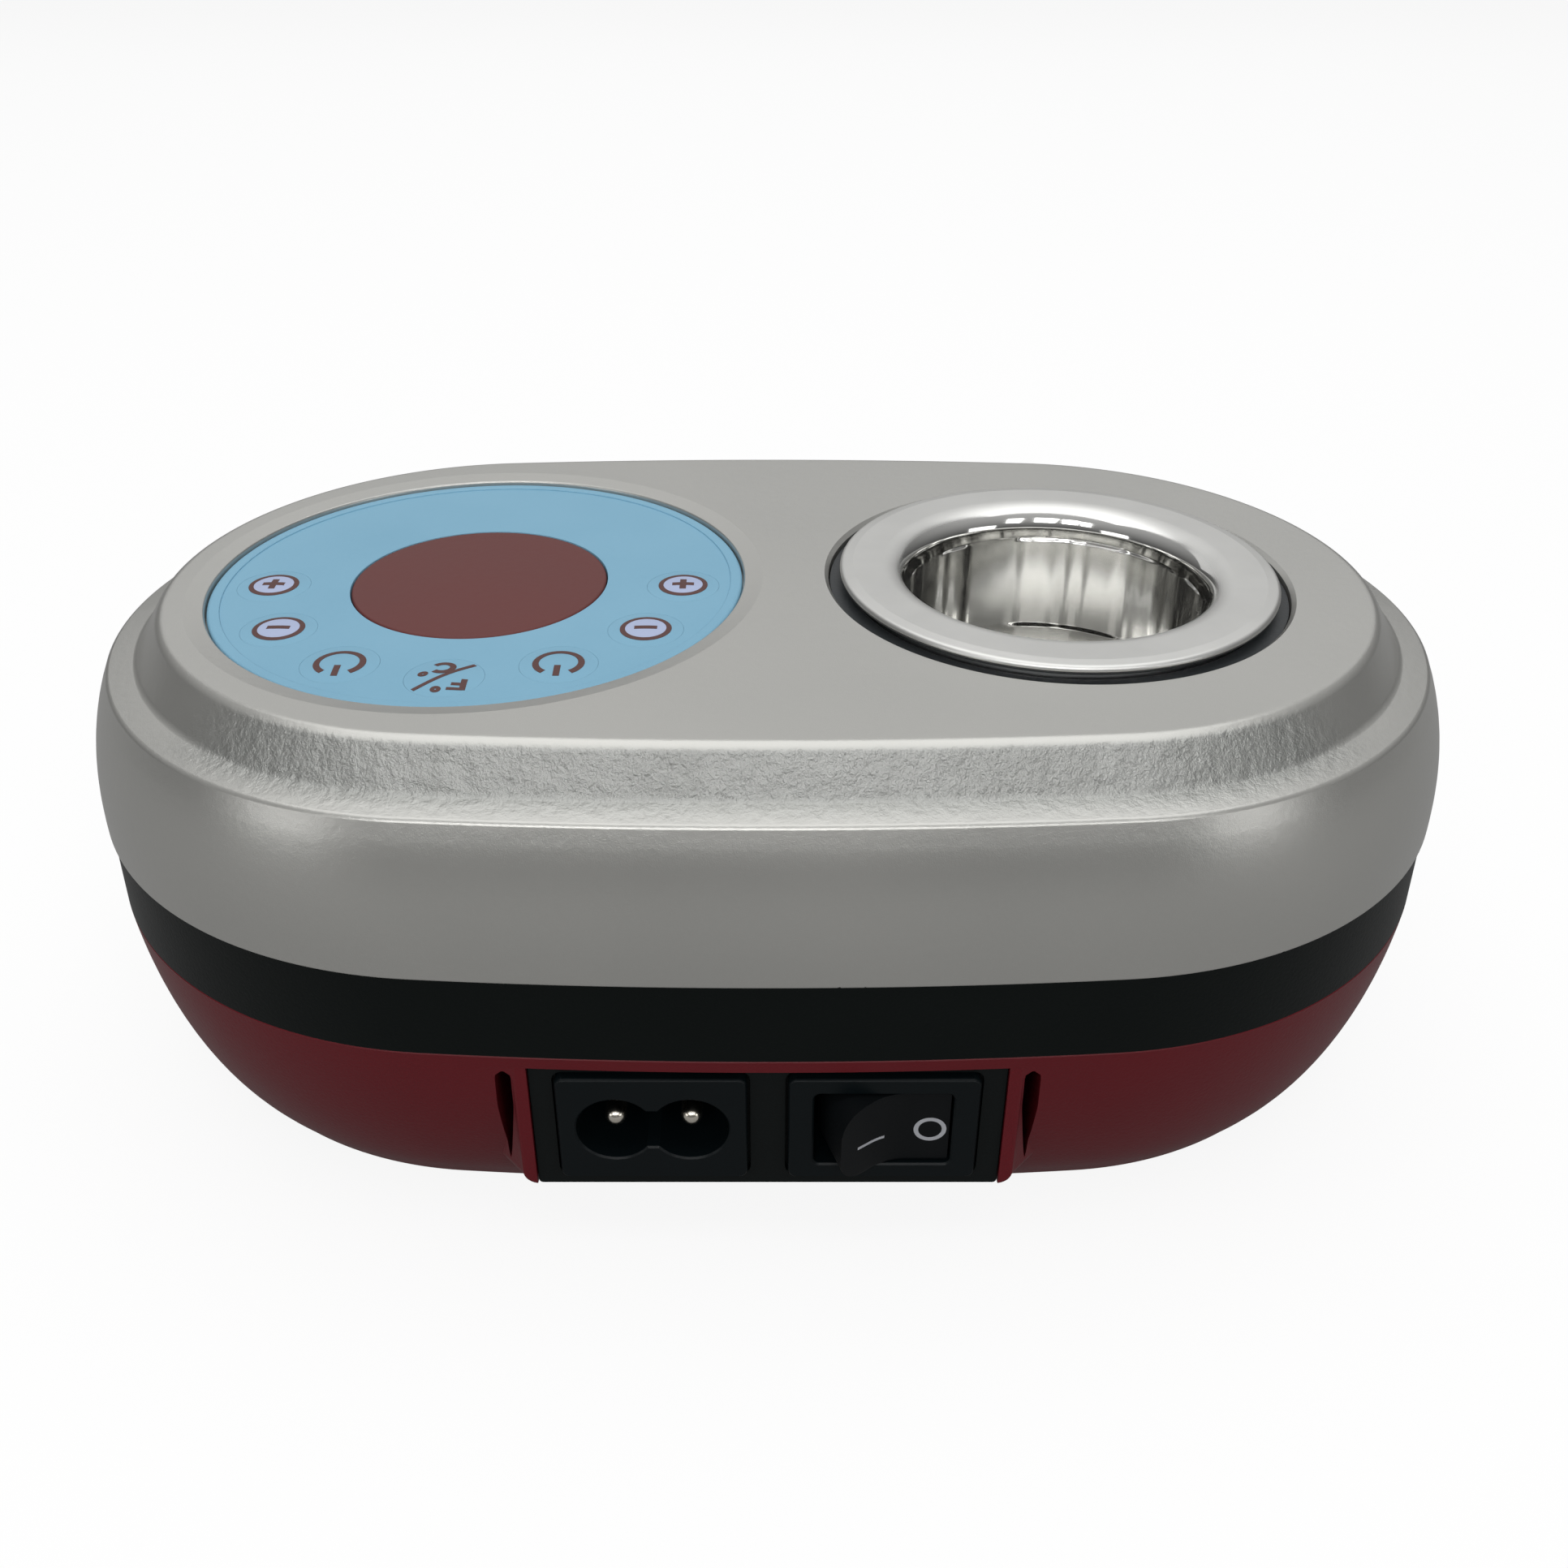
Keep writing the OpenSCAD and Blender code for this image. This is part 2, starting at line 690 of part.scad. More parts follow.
module shield_screws() {
  color("#9a9a98") placed()
    at_ears() {
      translate([0, 0, collar_z - shield_t - 1.6]) cylinder(r = 2.4, h = 1.6, $fn = 32);
      translate([0, 0, collar_z - shield_t]) cylinder(r = 1.25, h = 1.7, $fn = 24);
    }
}

module temperature_sensor() {
  color("#b08d57") placed()
    at_pot()
      translate([8, 0, 0]) {
        translate([0, 0, sleeve_bottom - 2.4]) cylinder(r = 3.5, h = 2.4, $fn = 6);
        translate([0, 0, sleeve_bottom - 2.4]) cylinder(r = 2, h = 4.2, $fn = 32);
      }
}

module thermal_fuse() {
  color("#d6d8da") placed()
    at_pot() {
      translate([-9, -6, sleeve_bottom - 2]) rotate([-90, 0, 0]) cylinder(r = 2, h = 12, $fn = 32);
      translate([-9, -9, sleeve_bottom - 2]) rotate([-90, 0, 0]) cylinder(r = 0.5, h = 18, $fn = 16);
    }
}

module heater_wires() {
  z = sleeve_bottom + 10;
  color("#e3d3b0") placed()
    for (s = [-1, 1])
      at_pot() {
        tip = [-band_r - 4.85, s * 3.8, z];
        wire([tip, tip + [-2.4, 0, 0], [-shield_r - 4, s * 4.4, 22], [-30, s * 5, 16.4],
          [-34.4, s * 5, 15.6]], 0.9);
      }
}

module power_posts() {
  for (x = [-1, 1], y = [-1, 1])
    translate([power_at.x + x * (power_board.x / 2 - 4), power_at.y + y * (power_board.y / 2 - 4), 0])
      children();
}

module power_board() {
  color("#1f5a34") placed()
    difference() {
      translate([power_at.x - power_board.x / 2, power_at.y - power_board.y / 2, power_z])
        cube([power_board.x, power_board.y, board_t]);
      power_posts() translate([0, 0, power_z - 1]) cylinder(r = 1.1, h = 4, $fn = 24);
    }
}

module power_board_screws() {
  color("#b0b0ae") placed()
    power_posts() {
      translate([0, 0, power_top]) cylinder(r = 2, h = 1.3, $fn = 24);
      translate([0, 0, power_top - 5]) cylinder(r = 1, h = 5, $fn = 24);
    }
}

module transformer() {
  color("#77705c") placed()
    translate([transformer_at.x, transformer_at.y, power_top]) {
      translate([-8, -14, 0]) cube([16, 28, 23]);
      translate([-12, -8.5, 2.5]) cube([24, 17, 18]);
    }
}

module filter_capacitor() {
  color("#26324a") placed() {
    translate([-14, -14, power_top]) cylinder(r = 5, h = 20, $fn = 40);
    translate([-9.5, -2, power_top]) cylinder(r = 3.5, h = 12, $fn = 40);
  }
}

module power_relay() {
  color("#2f5fa0") placed() translate([-14, 18, power_top]) cube([11, 10, 12]);
}

module board_fuse() {
  color("#d9d2c0") placed()
    translate([-44, -17, power_top]) {
      for (x = [0, 17]) translate([x, 0, 0]) cube([5, 6, 4.2]);
      translate([1, 3, 4]) rotate([0, 90, 0]) cylinder(r = 2.6, h = 20, $fn = 32);
    }
}

module terminal_block() {
  color("#3f7f52") placed()
    difference() {
      translate([-5, -10, power_top]) cube([8, 20, 9]);
      for (y = [-6.5, -1.5, 3.5]) translate([0.5, y, power_top + 3.2]) cube([4, 3, 3.6]);
    }
}

module heater_triac() {
  color("#8d9094") placed() {
    translate([-32, 25, power_top]) cube([16, 2, 16]);
    for (x = [-31, -27, -22, -18]) translate([x, 27, power_top]) cube([1, 4, 16]);
    translate([-27.5, 21.4, power_top + 3]) cube([10, 3.6, 9]);
  }
}

module socket_cut(x) {
  translate([x, 0, socket_z])
    xz_block(inlet_cut, 0.6, -plate_y - 2, -plate_y + plate_t + 1);
}

module socket_plate() {
  color("#191b1d") placed()
    difference() {
      translate([-plate_w / 2, -plate_y, plate_z]) cube([plate_w, plate_t, plate_top - plate_z]);
      socket_cut(-socket_x);
      socket_cut(socket_x);
    }
}

module socket_bezel(x) {
  translate([x, 0, socket_z]) {
    xz_block(bezel, 1, -plate_y - bezel_up + 0.4, -plate_y);
    xz_block(bezel - [0.8, 0.8], 0.8, -plate_y - bezel_up, -plate_y);
    xz_block(inlet_cut - [0.2, 0.2], 0.6, -plate_y - 0.1, -36);
  }
}

module inlet_body() {
  color("#101214") placed()
    difference() {
      socket_bezel(-socket_x);
      translate([-socket_x, -plate_y - bezel_up + recess_depth, socket_z])
        rotate([90, 0, 0])
          linear_extrude(height = recess_depth + 1) {
            for (s = [-1, 1]) translate([s * recess_x, 0]) circle(r = recess_r);
            square([2 * recess_x, recess_waist], center = true);
          }
      for (s = [-1, 1])
        translate([-socket_x + s * pin_gap / 2, -45, socket_z])
          rotate([-90, 0, 0]) cylinder(r = pin_r - 0.2, h = 12, $fn = 32);
    }
}

module inlet_pins() {
  color("#d0d0cc") placed()
    for (s = [-1, 1]) translate([-socket_x + s * pin_gap / 2, 0, socket_z]) {
      translate([0, -plate_y + 1.6, 0]) sphere(r = pin_r, $fn = 32);
      translate([0, -plate_y + 1.6, 0])
        rotate([-90, 0, 0]) cylinder(r = pin_r, h = plate_y - 1.6 - 40, $fn = 32);
      translate([0, -40.2, 0]) rotate([-90, 0, 0]) cylinder(r = pin_r - 0.2, h = 4.7, $fn = 32);
      translate([-0.4, -35.8, -2.4]) cube([0.8, 8, 4.8]);
    }
}

module switch_housing() {
  color("#141618") placed()
    difference() {
      socket_bezel(socket_x);
      translate([socket_x, 0, socket_z])
        xz_block(rocker_window, 0.8, -plate_y - bezel_up - 1, -40);
      translate([socket_x, -rocker_pivot_y, socket_z - 6])
        cylinder(r = axle_r + 0.05, h = 12, $fn = 32);
    }
}

module switch_terminals() {
  color("#c9a35a") placed()
    for (x = [-5, 3]) translate([socket_x + x, -35.98, socket_z - 2.4]) cube([0.8, 7.2, 4.8]);
}

// The rocker in its middle position, drawn in the XY plane: a disc cut by a shallow V.
module rocker_shape() {
  reach = 9;
  rise = reach * tan(rocker_v);
  intersection() {
    circle(r = rocker_r, $fn = 120);
    polygon(concat(
      [[reach, 3.5], [reach, -rocker_valley - rise]],
      corner([reach, -rocker_valley - rise], [0, -rocker_valley], [-reach, -rocker_valley - rise], 7, 8),
      [[-reach, -rocker_valley - rise], [-reach, 3.5]]));
  }
}

module rocker() {
  h = rocker_window.y - 0.6;
  color("#1a1d20") placed()
    translate([socket_x, -rocker_pivot_y, socket_z - h / 2])
      rotate([0, 0, rocker_v]) {
        linear_extrude(height = h) rocker_shape();
        translate([0, 0, -0.5]) cylinder(r = axle_r, h = h + 1, $fn = 32);
      }
}

module mains_wires() {
  tab = -27.15;
  link = -26.83;
  color("#6b4a2b") placed() {
    wire([[-9.4, link + 0.04, socket_z], [9.1, link - 1.02, socket_z]], 0.9);
    wire([[-socket_x - pin_gap / 2, tab, socket_z], [-24.5, -17.65, power_top + 2.4]], 0.9);
    wire([[socket_x + 3.4, tab - 0.95, socket_z], [-1, -10.66, power_top + 4.4]], 0.9);
  }
}

top_shell();
middle_band();
bottom_shell();
base_feet();
shell_screws();
rating_label();
keypad_membrane();
key_plus_left();
key_minus_left();
key_power_left();
key_unit();
key_power_right();
key_minus_right();
key_plus_right();
display_lens();
display_module();
control_board();
control_board_screws();
control_chip();
tact_switches();
ribbon_headers();
ribbon_cable();
wax_pot();
well_collar();
heater_well();
band_heater();
insulation_ring();
heat_shield();
shield_screws();
temperature_sensor();
thermal_fuse();
heater_wires();
power_board();
power_board_screws();
transformer();
filter_capacitor();
power_relay();
board_fuse();
terminal_block();
heater_triac();
socket_plate();
inlet_body();
inlet_pins();
switch_housing();
switch_terminals();
rocker();
mains_wires();
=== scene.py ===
# %% [markdown]
# # A wax heater for a dental bench
#
# This lesson dresses a finished CAD model. The model is loaded first and is never moved, so every
# visible piece below is made in the same place, in metres, with +Z up and the sockets facing -Y.
# The housing is an oval in three stacked shells, with a soft keypad on one side and a lift-out
# steel pot on the other.

import math

import bmesh
import bpy
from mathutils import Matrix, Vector
from mathutils.geometry import delaunay_2d_cdt


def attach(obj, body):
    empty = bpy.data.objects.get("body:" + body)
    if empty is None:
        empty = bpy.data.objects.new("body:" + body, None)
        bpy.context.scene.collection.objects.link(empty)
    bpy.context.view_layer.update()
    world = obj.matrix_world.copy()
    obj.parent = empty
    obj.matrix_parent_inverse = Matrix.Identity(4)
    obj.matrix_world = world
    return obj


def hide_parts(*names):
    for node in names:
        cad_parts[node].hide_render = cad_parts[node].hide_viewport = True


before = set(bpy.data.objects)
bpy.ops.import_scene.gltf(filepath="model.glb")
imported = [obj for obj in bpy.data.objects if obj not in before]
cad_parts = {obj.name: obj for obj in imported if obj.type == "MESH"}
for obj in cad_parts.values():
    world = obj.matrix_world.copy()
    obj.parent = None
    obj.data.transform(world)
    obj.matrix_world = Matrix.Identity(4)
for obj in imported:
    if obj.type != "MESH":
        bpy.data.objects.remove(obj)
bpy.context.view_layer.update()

# %% [markdown]
# ## Sizes
#
# The real housing follows one base oval of four arcs: two round ends and two long, nearly flat
# sides. Each shell is that oval grown or shrunk by an amount that depends on the height. The same
# numbers drive the CAD source, so a shell made here fits its CAD solid to a few hundredths of a
# millimetre. Nearly all are in millimetres, because that is how a maker reads them.

# %% Sizes of the housing, in millimetres
END_R = 49.24            # radius of the round ends
ARC_GAP = 450.0          # from a round end's centre to the centre of a long side's arc
SIDE_SIN, SIDE_COS = 237 / 3125, 3116 / 3125
END_C, SIDE_C = ARC_GAP * SIDE_SIN, ARC_GAP * SIDE_COS
LIFT_Y = 1.7             # the oval sits this far along +Y, to make room for the rocker
TOP_Z, SILVER_Z, BAND_Z, FLOOR_Z = 62.0, 38.3, 28.0, 1.5     # the flat top, three lower edges
CEILING_Z, BOWL_FLOOR_Z = 59.8, 4.0                          # the top and the floor from inside
WALL = 2.2
PAD_X, POT_X = -36.0, 36.0
MM, MERGE, SLIVER = 0.001, 2e-6, 1e-7     # in metres: one millimetre, and two merging distances
LENGTH, WIDTH = 2 * (END_C + END_R), 2 * (END_R + ARC_GAP - SIDE_C)
print("base oval", round(LENGTH, 1), "x", round(WIDTH, 1), "mm")

# %% [markdown]
# ## Camera
#
# The photograph looks down on the sockets' side from close by, so the near edge is clearly wider
# than the far one. Matching that needs the real distance, not only the angle. The camera is
# placed 176 mm in front of the middle and 142 mm above the table, tilted 32 degrees down.

# %% Camera
def linked(name, data):
    """A new object, linked into the scene."""
    made = bpy.data.objects.new(name, data)
    bpy.context.collection.objects.link(made)
    return made


camera_data = bpy.data.cameras.new("camera")
camera_data.sensor_width = 36
camera_data.lens = 35.40
camera_data.shift_x = 0.01035
camera_data.clip_start = 0.01
camera_data.clip_end = 20
camera = linked("camera", camera_data)
camera.location = (0, -0.1755, 0.142)
camera.rotation_euler = (math.radians(57.97), 0, 0)
bpy.context.scene.camera = camera
print("camera", tuple(round(v, 3) for v in camera.location))

# %% [markdown]
# ## Shader maths in a readable form
#
# A procedural finish is a sum of small patterns. Wiring each Math node by hand hides the idea, so
# one small class wraps a socket and lets Python's operators make the nodes. `a * 2 + b` then
# reads as it would on paper. Colours and vectors go through Mix and Vector Math nodes.

# %% Sockets that can be added and multiplied
class Value:
    """A socket of a material's tree, which makes a Math node for each operation on it."""

    def __init__(self, tree, socket):
        self.tree, self.socket = tree, socket

    def node(self, kind, inputs=None, output=0, **settings):
        made = self.tree.nodes.new(kind)
        for name, value in settings.items():
            setattr(made, name, value)
        for name, value in (inputs or {}).items():
            self.put(made.inputs[name], value)
        return Value(self.tree, made.outputs[output])

    def put(self, socket, value):
        if isinstance(value, Value):
            self.tree.links.new(value.socket, socket)
        else:
            socket.default_value = value

    def maths(self, operation, *others):
        return self.node("ShaderNodeMath", dict(enumerate((self, *others))), operation=operation)

    def vector(self, operation, *others):
        inputs = dict(enumerate((self, *others)))
        return self.node("ShaderNodeVectorMath", inputs, operation=operation)

    def axes(self):
        """The X, Y and Z of a vector."""
        parts = self.node("ShaderNodeSeparateXYZ", {0: self}).socket.node
        return [Value(self.tree, socket) for socket in parts.outputs]

    def __add__(self, other):
        return self.maths("ADD", other)

    def __sub__(self, other):
        return self.maths("SUBTRACT", other)

    def __mul__(self, other):
        return self.maths("MULTIPLY", other)

    def __truediv__(self, other):
        return self.maths("DIVIDE", other)

    def __rsub__(self, other):
        return (self * -1) + other

    __radd__ = __add__
    __rmul__ = __mul__

    def at_least(self, other):
        return self.maths("MAXIMUM", other)

    def size(self):
        return self.maths("ABSOLUTE")

    def step(self, low, high):
        """0 below low, 1 above high, smooth between."""
        limits = {"Value": self, "From Min": low, "From Max": high}
        return self.node("ShaderNodeMapRange", limits, interpolation_type="SMOOTHSTEP")

    def fall(self, low, high):
        """1 below low, 0 above high."""
        return 1.0 - self.step(low, high)

    def band(self, low, full, still_full, high):
        """0 outside low and high, and 1 between the two in the middle."""
        return self.step(low, full) * self.fall(still_full, high)

    def blend(self, low, high):
        """The colour low where this value is 0, and high where it is 1."""
        made = self.tree.nodes.new("ShaderNodeMix")
        made.data_type = "RGBA"
        self.put(made.inputs[0], self)
        self.put(made.inputs[6], low)
        self.put(made.inputs[7], high)
        return Value(self.tree, made.outputs[2])


print("the Value class is ready")

# %% [markdown]
# A finish starts from a Principled shader and a point on the piece in millimetres. Object
# coordinates are metres here, so they are scaled by a thousand once, and every pattern below can
# then be written in the size that it has on the real object.

# %% A finish and its patterns
class Finish:
    """One material: a Principled shader, and the point in millimetres that patterns start from."""

    def __init__(self, name, colour, roughness, metallic=0.0, coat=0.0, **constants):
        self.material = bpy.data.materials.new(name)
        self.material.use_nodes = True
        self.material.diffuse_color = (*colour, 1)
        self.tree = self.material.node_tree
        self.shader = self.tree.nodes["Principled BSDF"]
        settings = {"Base Color": (*colour, 1), "Roughness": roughness, "Metallic": metallic}
        settings.update({"Coat Weight": coat, **constants})
        for socket, value in settings.items():
            self.shader.inputs[socket].default_value = value
        place = Value(self.tree, None).node("ShaderNodeTexCoord", output="Object")
        scale = {0: place, "Scale": 1000.0}
        self.point = place.node("ShaderNodeVectorMath", scale, operation="SCALE")

    def scaled(self, *scale):
        return self.point.vector("MULTIPLY", scale)

    def noise(self, per_mm, detail=3.0, rough=0.55, at=None):
        inputs = {"Vector": at or self.point, "Scale": per_mm, "Detail": detail, "Roughness": rough}
        return self.point.node("ShaderNodeTexNoise", inputs)

    def cells(self, per_mm, feature="F1"):
        inputs = {"Vector": self.point, "Scale": per_mm}
        return self.point.node("ShaderNodeTexVoronoi", inputs, feature=feature)

    def bump(self, height, depth_mm):
        inputs = {"Height": height, "Distance": depth_mm / 1000}
        self.point.put(self.shader.inputs["Normal"], self.point.node("ShaderNodeBump", inputs))

    def set(self, **values):
        for name, value in values.items():
            value.put(self.shader.inputs[name.replace("_", " ").title()], value)

    def paint(self, shade, dark, light, roughness):
        """Goes from dark to light as shade goes from 0 to 1, and sets the roughness."""
        self.set(base_color=shade.blend((*dark, 1), (*light, 1)), roughness=roughness)


print("the Finish class is ready")

# %% [markdown]
# ## The oval rule as a Geometry Nodes tree
#
# The three shells could each be lofted by hand, but they share one rule: a point of the profile,
# given as an offset and a height, goes round four arcs. A node tree says that rule once. It lays
# out a grid with one row for each profile point, and moves every grid point to its place on the
# oval. The profile is the object's own line of vertices, and the sizes are the tree's inputs.

# %% Build the tree that sweeps a profile round the oval
END_STEPS, SIDE_STEPS = 96, 36       # grid steps round an end and along a side


def add_inputs(tree, sockets):
    """Adds named inputs to a geometry tree, and gives the name and socket type of each."""
    tree.interface.new_socket("Geometry", in_out="OUTPUT", socket_type="NodeSocketGeometry")
    tree.interface.new_socket("Geometry", in_out="INPUT", socket_type="NodeSocketGeometry")
    for name, kind, value in sockets:
        made = tree.interface.new_socket(name, in_out="INPUT", socket_type="NodeSocket" + kind)
        if value is not None:
            made.default_value = value
    start, end = tree.nodes.new("NodeGroupInput"), tree.nodes.new("NodeGroupOutput")
    return {s.name: Value(tree, s) for s in start.outputs if s.name}, end


def close_tree(geometry, given, end):
    """The end of each tree: copies become real, and the material is set."""
    real = geometry.node("GeometryNodeRealizeInstances", {"Geometry": geometry})
    inputs = {"Geometry": real, "Material": given["Material"]}
    real.put(end.inputs[0], real.node("GeometryNodeSetMaterial", inputs))


def oval_tree():
    tree = bpy.data.node_groups.new("sweep round the oval", "GeometryNodeTree")
    given, end = add_inputs(tree, [
        ("End radius", "Float", END_R), ("Arc gap", "Float", ARC_GAP), ("Lift", "Float", LIFT_Y),
        ("End steps", "Int", END_STEPS), ("Side steps", "Int", SIDE_STEPS),
        ("Material", "Material", None)])
    profile = given["Geometry"]
    count = profile.node("GeometryNodeAttributeDomainSize", {"Geometry": profile})
    per_half = given["End steps"] + given["Side steps"]
    grid = count.node("GeometryNodeMeshGrid", {"Vertices X": per_half * 2 + 1, "Vertices Y": count})
    index = grid.node("GeometryNodeInputIndex")
    step = ((index + 0.5) / count).maths("FLOOR")
    row = index - step * count
    place = grid.node("GeometryNodeInputPosition")
    inputs = {"Geometry": profile, "Value": place, "Index": row + 0.01}
    sample = grid.node("GeometryNodeSampleIndex", inputs, data_type="FLOAT_VECTOR")
    offset, _, height = sample.axes()
    half = ((step + 0.5) / per_half).maths("FLOOR")
    along = step - half * per_half
    on_end = along.maths("LESS_THAN", given["End steps"] + 0.5)
    on_side = 1.0 - on_end
    sign = 1.0 - (half - (half / 2).maths("FLOOR") * 2) * 2
    join = math.atan2(SIDE_COS, SIDE_SIN)
    end_angle = along / given["End steps"] * (2 * join) - join
    side_angle = (along - given["End steps"]) / given["Side steps"] * (math.pi - 2 * join) + join
    angle = half * math.pi + on_end * end_angle + on_side * side_angle
    radius = given["End radius"] + on_side * given["Arc gap"] + offset
    x = sign * on_end * given["Arc gap"] * SIDE_SIN + radius * angle.maths("COSINE")
    y = radius * angle.maths("SINE") - sign * on_side * given["Arc gap"] * SIDE_COS + given["Lift"]
    inputs = {"X": x * MM, "Y": y * MM, "Z": height * MM}
    point = grid.node("ShaderNodeCombineXYZ", inputs)
    moved = grid.node("GeometryNodeSetPosition", {"Geometry": grid, "Position": point})
    closed = {"Geometry": moved, "Distance": MERGE}
    close_tree(moved.node("GeometryNodeMergeByDistance", closed), given, end)
    return tree


OVAL_TREE = oval_tree()
print("sweep tree:", len(OVAL_TREE.nodes), "nodes")

# %% [markdown]
# A tree does nothing until a modifier runs it. The helper below gives an object the modifier,
# sets its inputs by their identifiers, takes the result as a plain mesh, and throws the helper
# object away, so that no live nodes are left in the model.

# %% Run a geometry tree and keep the mesh
def plain(made, *helpers):
    """The object's mesh after its modifiers. The object and its helpers are thrown away."""
    depsgraph = bpy.context.evaluated_depsgraph_get()
    mesh = bpy.data.meshes.new_from_object(made.evaluated_get(depsgraph), depsgraph=depsgraph)
    for thing in (made, *helpers):
        bpy.data.objects.remove(thing)
    return mesh


def run_tree(tree, mesh, **inputs):
    source = linked("source", mesh)
    modifier = source.modifiers.new("tree", "NODES")
    modifier.node_group = tree
    for item in tree.interface.items_tree:
        key = item.name.lower().replace(" ", "_")
        if item.in_out == "INPUT" and key in inputs:
            modifier[item.identifier] = inputs[key]
    return plain(source)


def line_mesh(points):
    """A line of vertices, each an offset and a height in millimetres."""
    mesh = bpy.data.meshes.new("profile")
    edges = [(i, i + 1) for i in range(len(points) - 1)]
    mesh.from_pydata([(x, 0, z) for x, z in points], edges, [])
    return mesh


def round_corners(points, radii, steps=6):
    """The line through points, with each corner that has a radius replaced by an arc."""
    out = []
    for i, p in enumerate(points):
        radius = radii.get(i, 0)
        if not radius:
            out.append(tuple(p))
            continue
        p, a, b = Vector(p), Vector(points[i - 1]), Vector(points[(i + 1) % len(points)])
        u, v = (a - p).normalized(), (b - p).normalized()
        half = math.acos(max(-1, min(1, u.dot(v)))) / 2
        centre = p + (u + v).normalized() * (radius / math.sin(half))
        start, end = p + u * (radius / math.tan(half)), p + v * (radius / math.tan(half))
        a0 = math.atan2(*(start - centre).yx)
        turn = (math.atan2(*(end - centre).yx) - a0 + math.pi) % (2 * math.pi) - math.pi
        for k in range(steps + 1):
            t = a0 + turn * k / steps
            out.append((centre.x + radius * math.cos(t), centre.y + radius * math.sin(t)))
    return out


print("one rounded corner:", len(round_corners([(0, 0), (5, 0), (5, 5)], {1: 1})) - 2, "points")

# %% [markdown]
# ## Turned parts, flat panels and finished pieces
#
# The pot, the recess and the feet are turned shapes: a profile spun about an upright axis. The
# flat top and the floors are panels with round holes, and a constrained triangulation fills those
# exactly, so that their edges meet the turned walls vertex for vertex and the shell is closed.
# All of them start from loops of points in millimetres.

# %% Loops of points
ROUND = 192                      # points round a large circle


def circle(centre, radius, steps):
    return [(centre[0] + radius * math.cos(2 * math.pi * i / steps),
             centre[1] + radius * math.sin(2 * math.pi * i / steps)) for i in range(steps)]


def arc(radius, start, stop, centre=(0, 0), steps=28):
    """Points on an arc, from one angle to the other in degrees."""
    angles = [math.radians(start + (stop - start) * i / steps) for i in range(steps + 1)]
    return [(centre[0] + radius * math.cos(t), centre[1] + radius * math.sin(t)) for t in angles]


def oval_ring(offset):
    """The same points as the sweep tree's, for a panel that joins a swept wall."""
    join, ring = math.atan2(SIDE_COS, SIDE_SIN), []
    for half in (0, 1):
        sign = 1 - 2 * half
        for i in range(END_STEPS + 1):
            t = half * math.pi - join + 2 * join * i / END_STEPS
            ring.append((sign * END_C + (END_R + offset) * math.cos(t),
                         (END_R + offset) * math.sin(t) + LIFT_Y))
        for i in range(1, SIDE_STEPS):
            t = half * math.pi + join + (math.pi - 2 * join) * i / SIDE_STEPS
            radius = END_R + ARC_GAP + offset
            ring.append((radius * math.cos(t), radius * math.sin(t) - sign * SIDE_C + LIFT_Y))
    return ring


print("oval_ring has", len(oval_ring(0)), "points")

# %% [markdown]
# A skin joins rows of vertices into faces, whether the rows are rings of a turned part or the
# outlines of a block. A panel is flat, and the triangles that fall into a hole are left out.

# %% Skins, turned parts, blocks and panels
def skin(bm, rows):
    """Faces between each row and the next. A row is a closed loop, and all are equally long."""
    for low, high in zip(rows, rows[1:]):
        for i in range(len(low)):
            j = (i + 1) % len(low)
            corners = dict.fromkeys([low[i], low[j], high[j], high[i]])
            if len(corners) > 2:
                bm.faces.new(corners)


def turn(bm, centre, profile, steps):
    """Spins a profile of (radius, height) about an upright axis through centre."""
    rings = []
    for radius, z in profile:
        if radius < 1e-6:
            ring = [bm.verts.new((centre[0] * MM, centre[1] * MM, z * MM))] * steps
        else:
            ring = [bm.verts.new((x * MM, y * MM, z * MM))
                    for x, y in circle(centre, radius, steps)]
        rings.append(ring)
    skin(bm, rings)


def wall_between(bm, loops):
    """Joins loops of equal length into a skin, without caps."""
    rows = [[bm.verts.new(Vector(p) * MM) for p in loop] for loop in loops]
    skin(bm, rows)
    return rows


def slab(bm, loops):
    """A closed solid through loops of equal length."""
    rows = wall_between(bm, loops)
    bm.faces.new(rows[0])
    bm.faces.new(rows[-1][::-1])


def inside(point, loop):
    """Whether a ray from the point crosses the loop an odd number of times."""
    hit = False
    for (ax, ay), (bx, by) in zip(loop, loop[1:] + loop[:1]):
        crosses = (ay > point[1]) != (by > point[1])
        if crosses and point[0] < ax + (point[1] - ay) * (bx - ax) / (by - ay):
            hit = not hit
    return hit


def panel(bm, place, outline, holes=()):
    """Fills outline but for its holes. place is a height, or makes a point of two numbers."""
    if not callable(place):
        height = place
        place = lambda a, b: (a, b, height)
    points, edges = [], []
    for loop in [outline, *holes]:
        n = len(points)
        points += [Vector(p) for p in loop]
        edges += [(n + i, n + (i + 1) % len(loop)) for i in range(len(loop))]
    flat, _, faces, *_ = delaunay_2d_cdt(points, edges, [], 1, 1e-6)
    verts = [bm.verts.new(Vector(place(p.x, p.y)) * MM) for p in flat]
    for face in faces:
        middle = sum((flat[i] for i in face), Vector((0, 0))) / len(face)
        if not any(inside(middle, loop) for loop in holes):
            bm.faces.new([verts[i] for i in face])


def box(bm, low, high):
    made = bmesh.ops.create_cube(bm, size=1)["verts"]
    for v in made:
        v.co = Vector([(low[i] if v.co[i] < 0 else high[i]) * MM for i in range(3)])


print("helpers for skins, blocks and panels are ready")

# %% [markdown]
# Every piece ends in the same way. Doubles are merged, the faces are turned outwards, edges
# sharper than a limit stay crisp, and a Weighted Normal modifier keeps flat faces flat where they
# meet a small rounding. Then the piece is tied to its CAD body and takes over its CAD node.

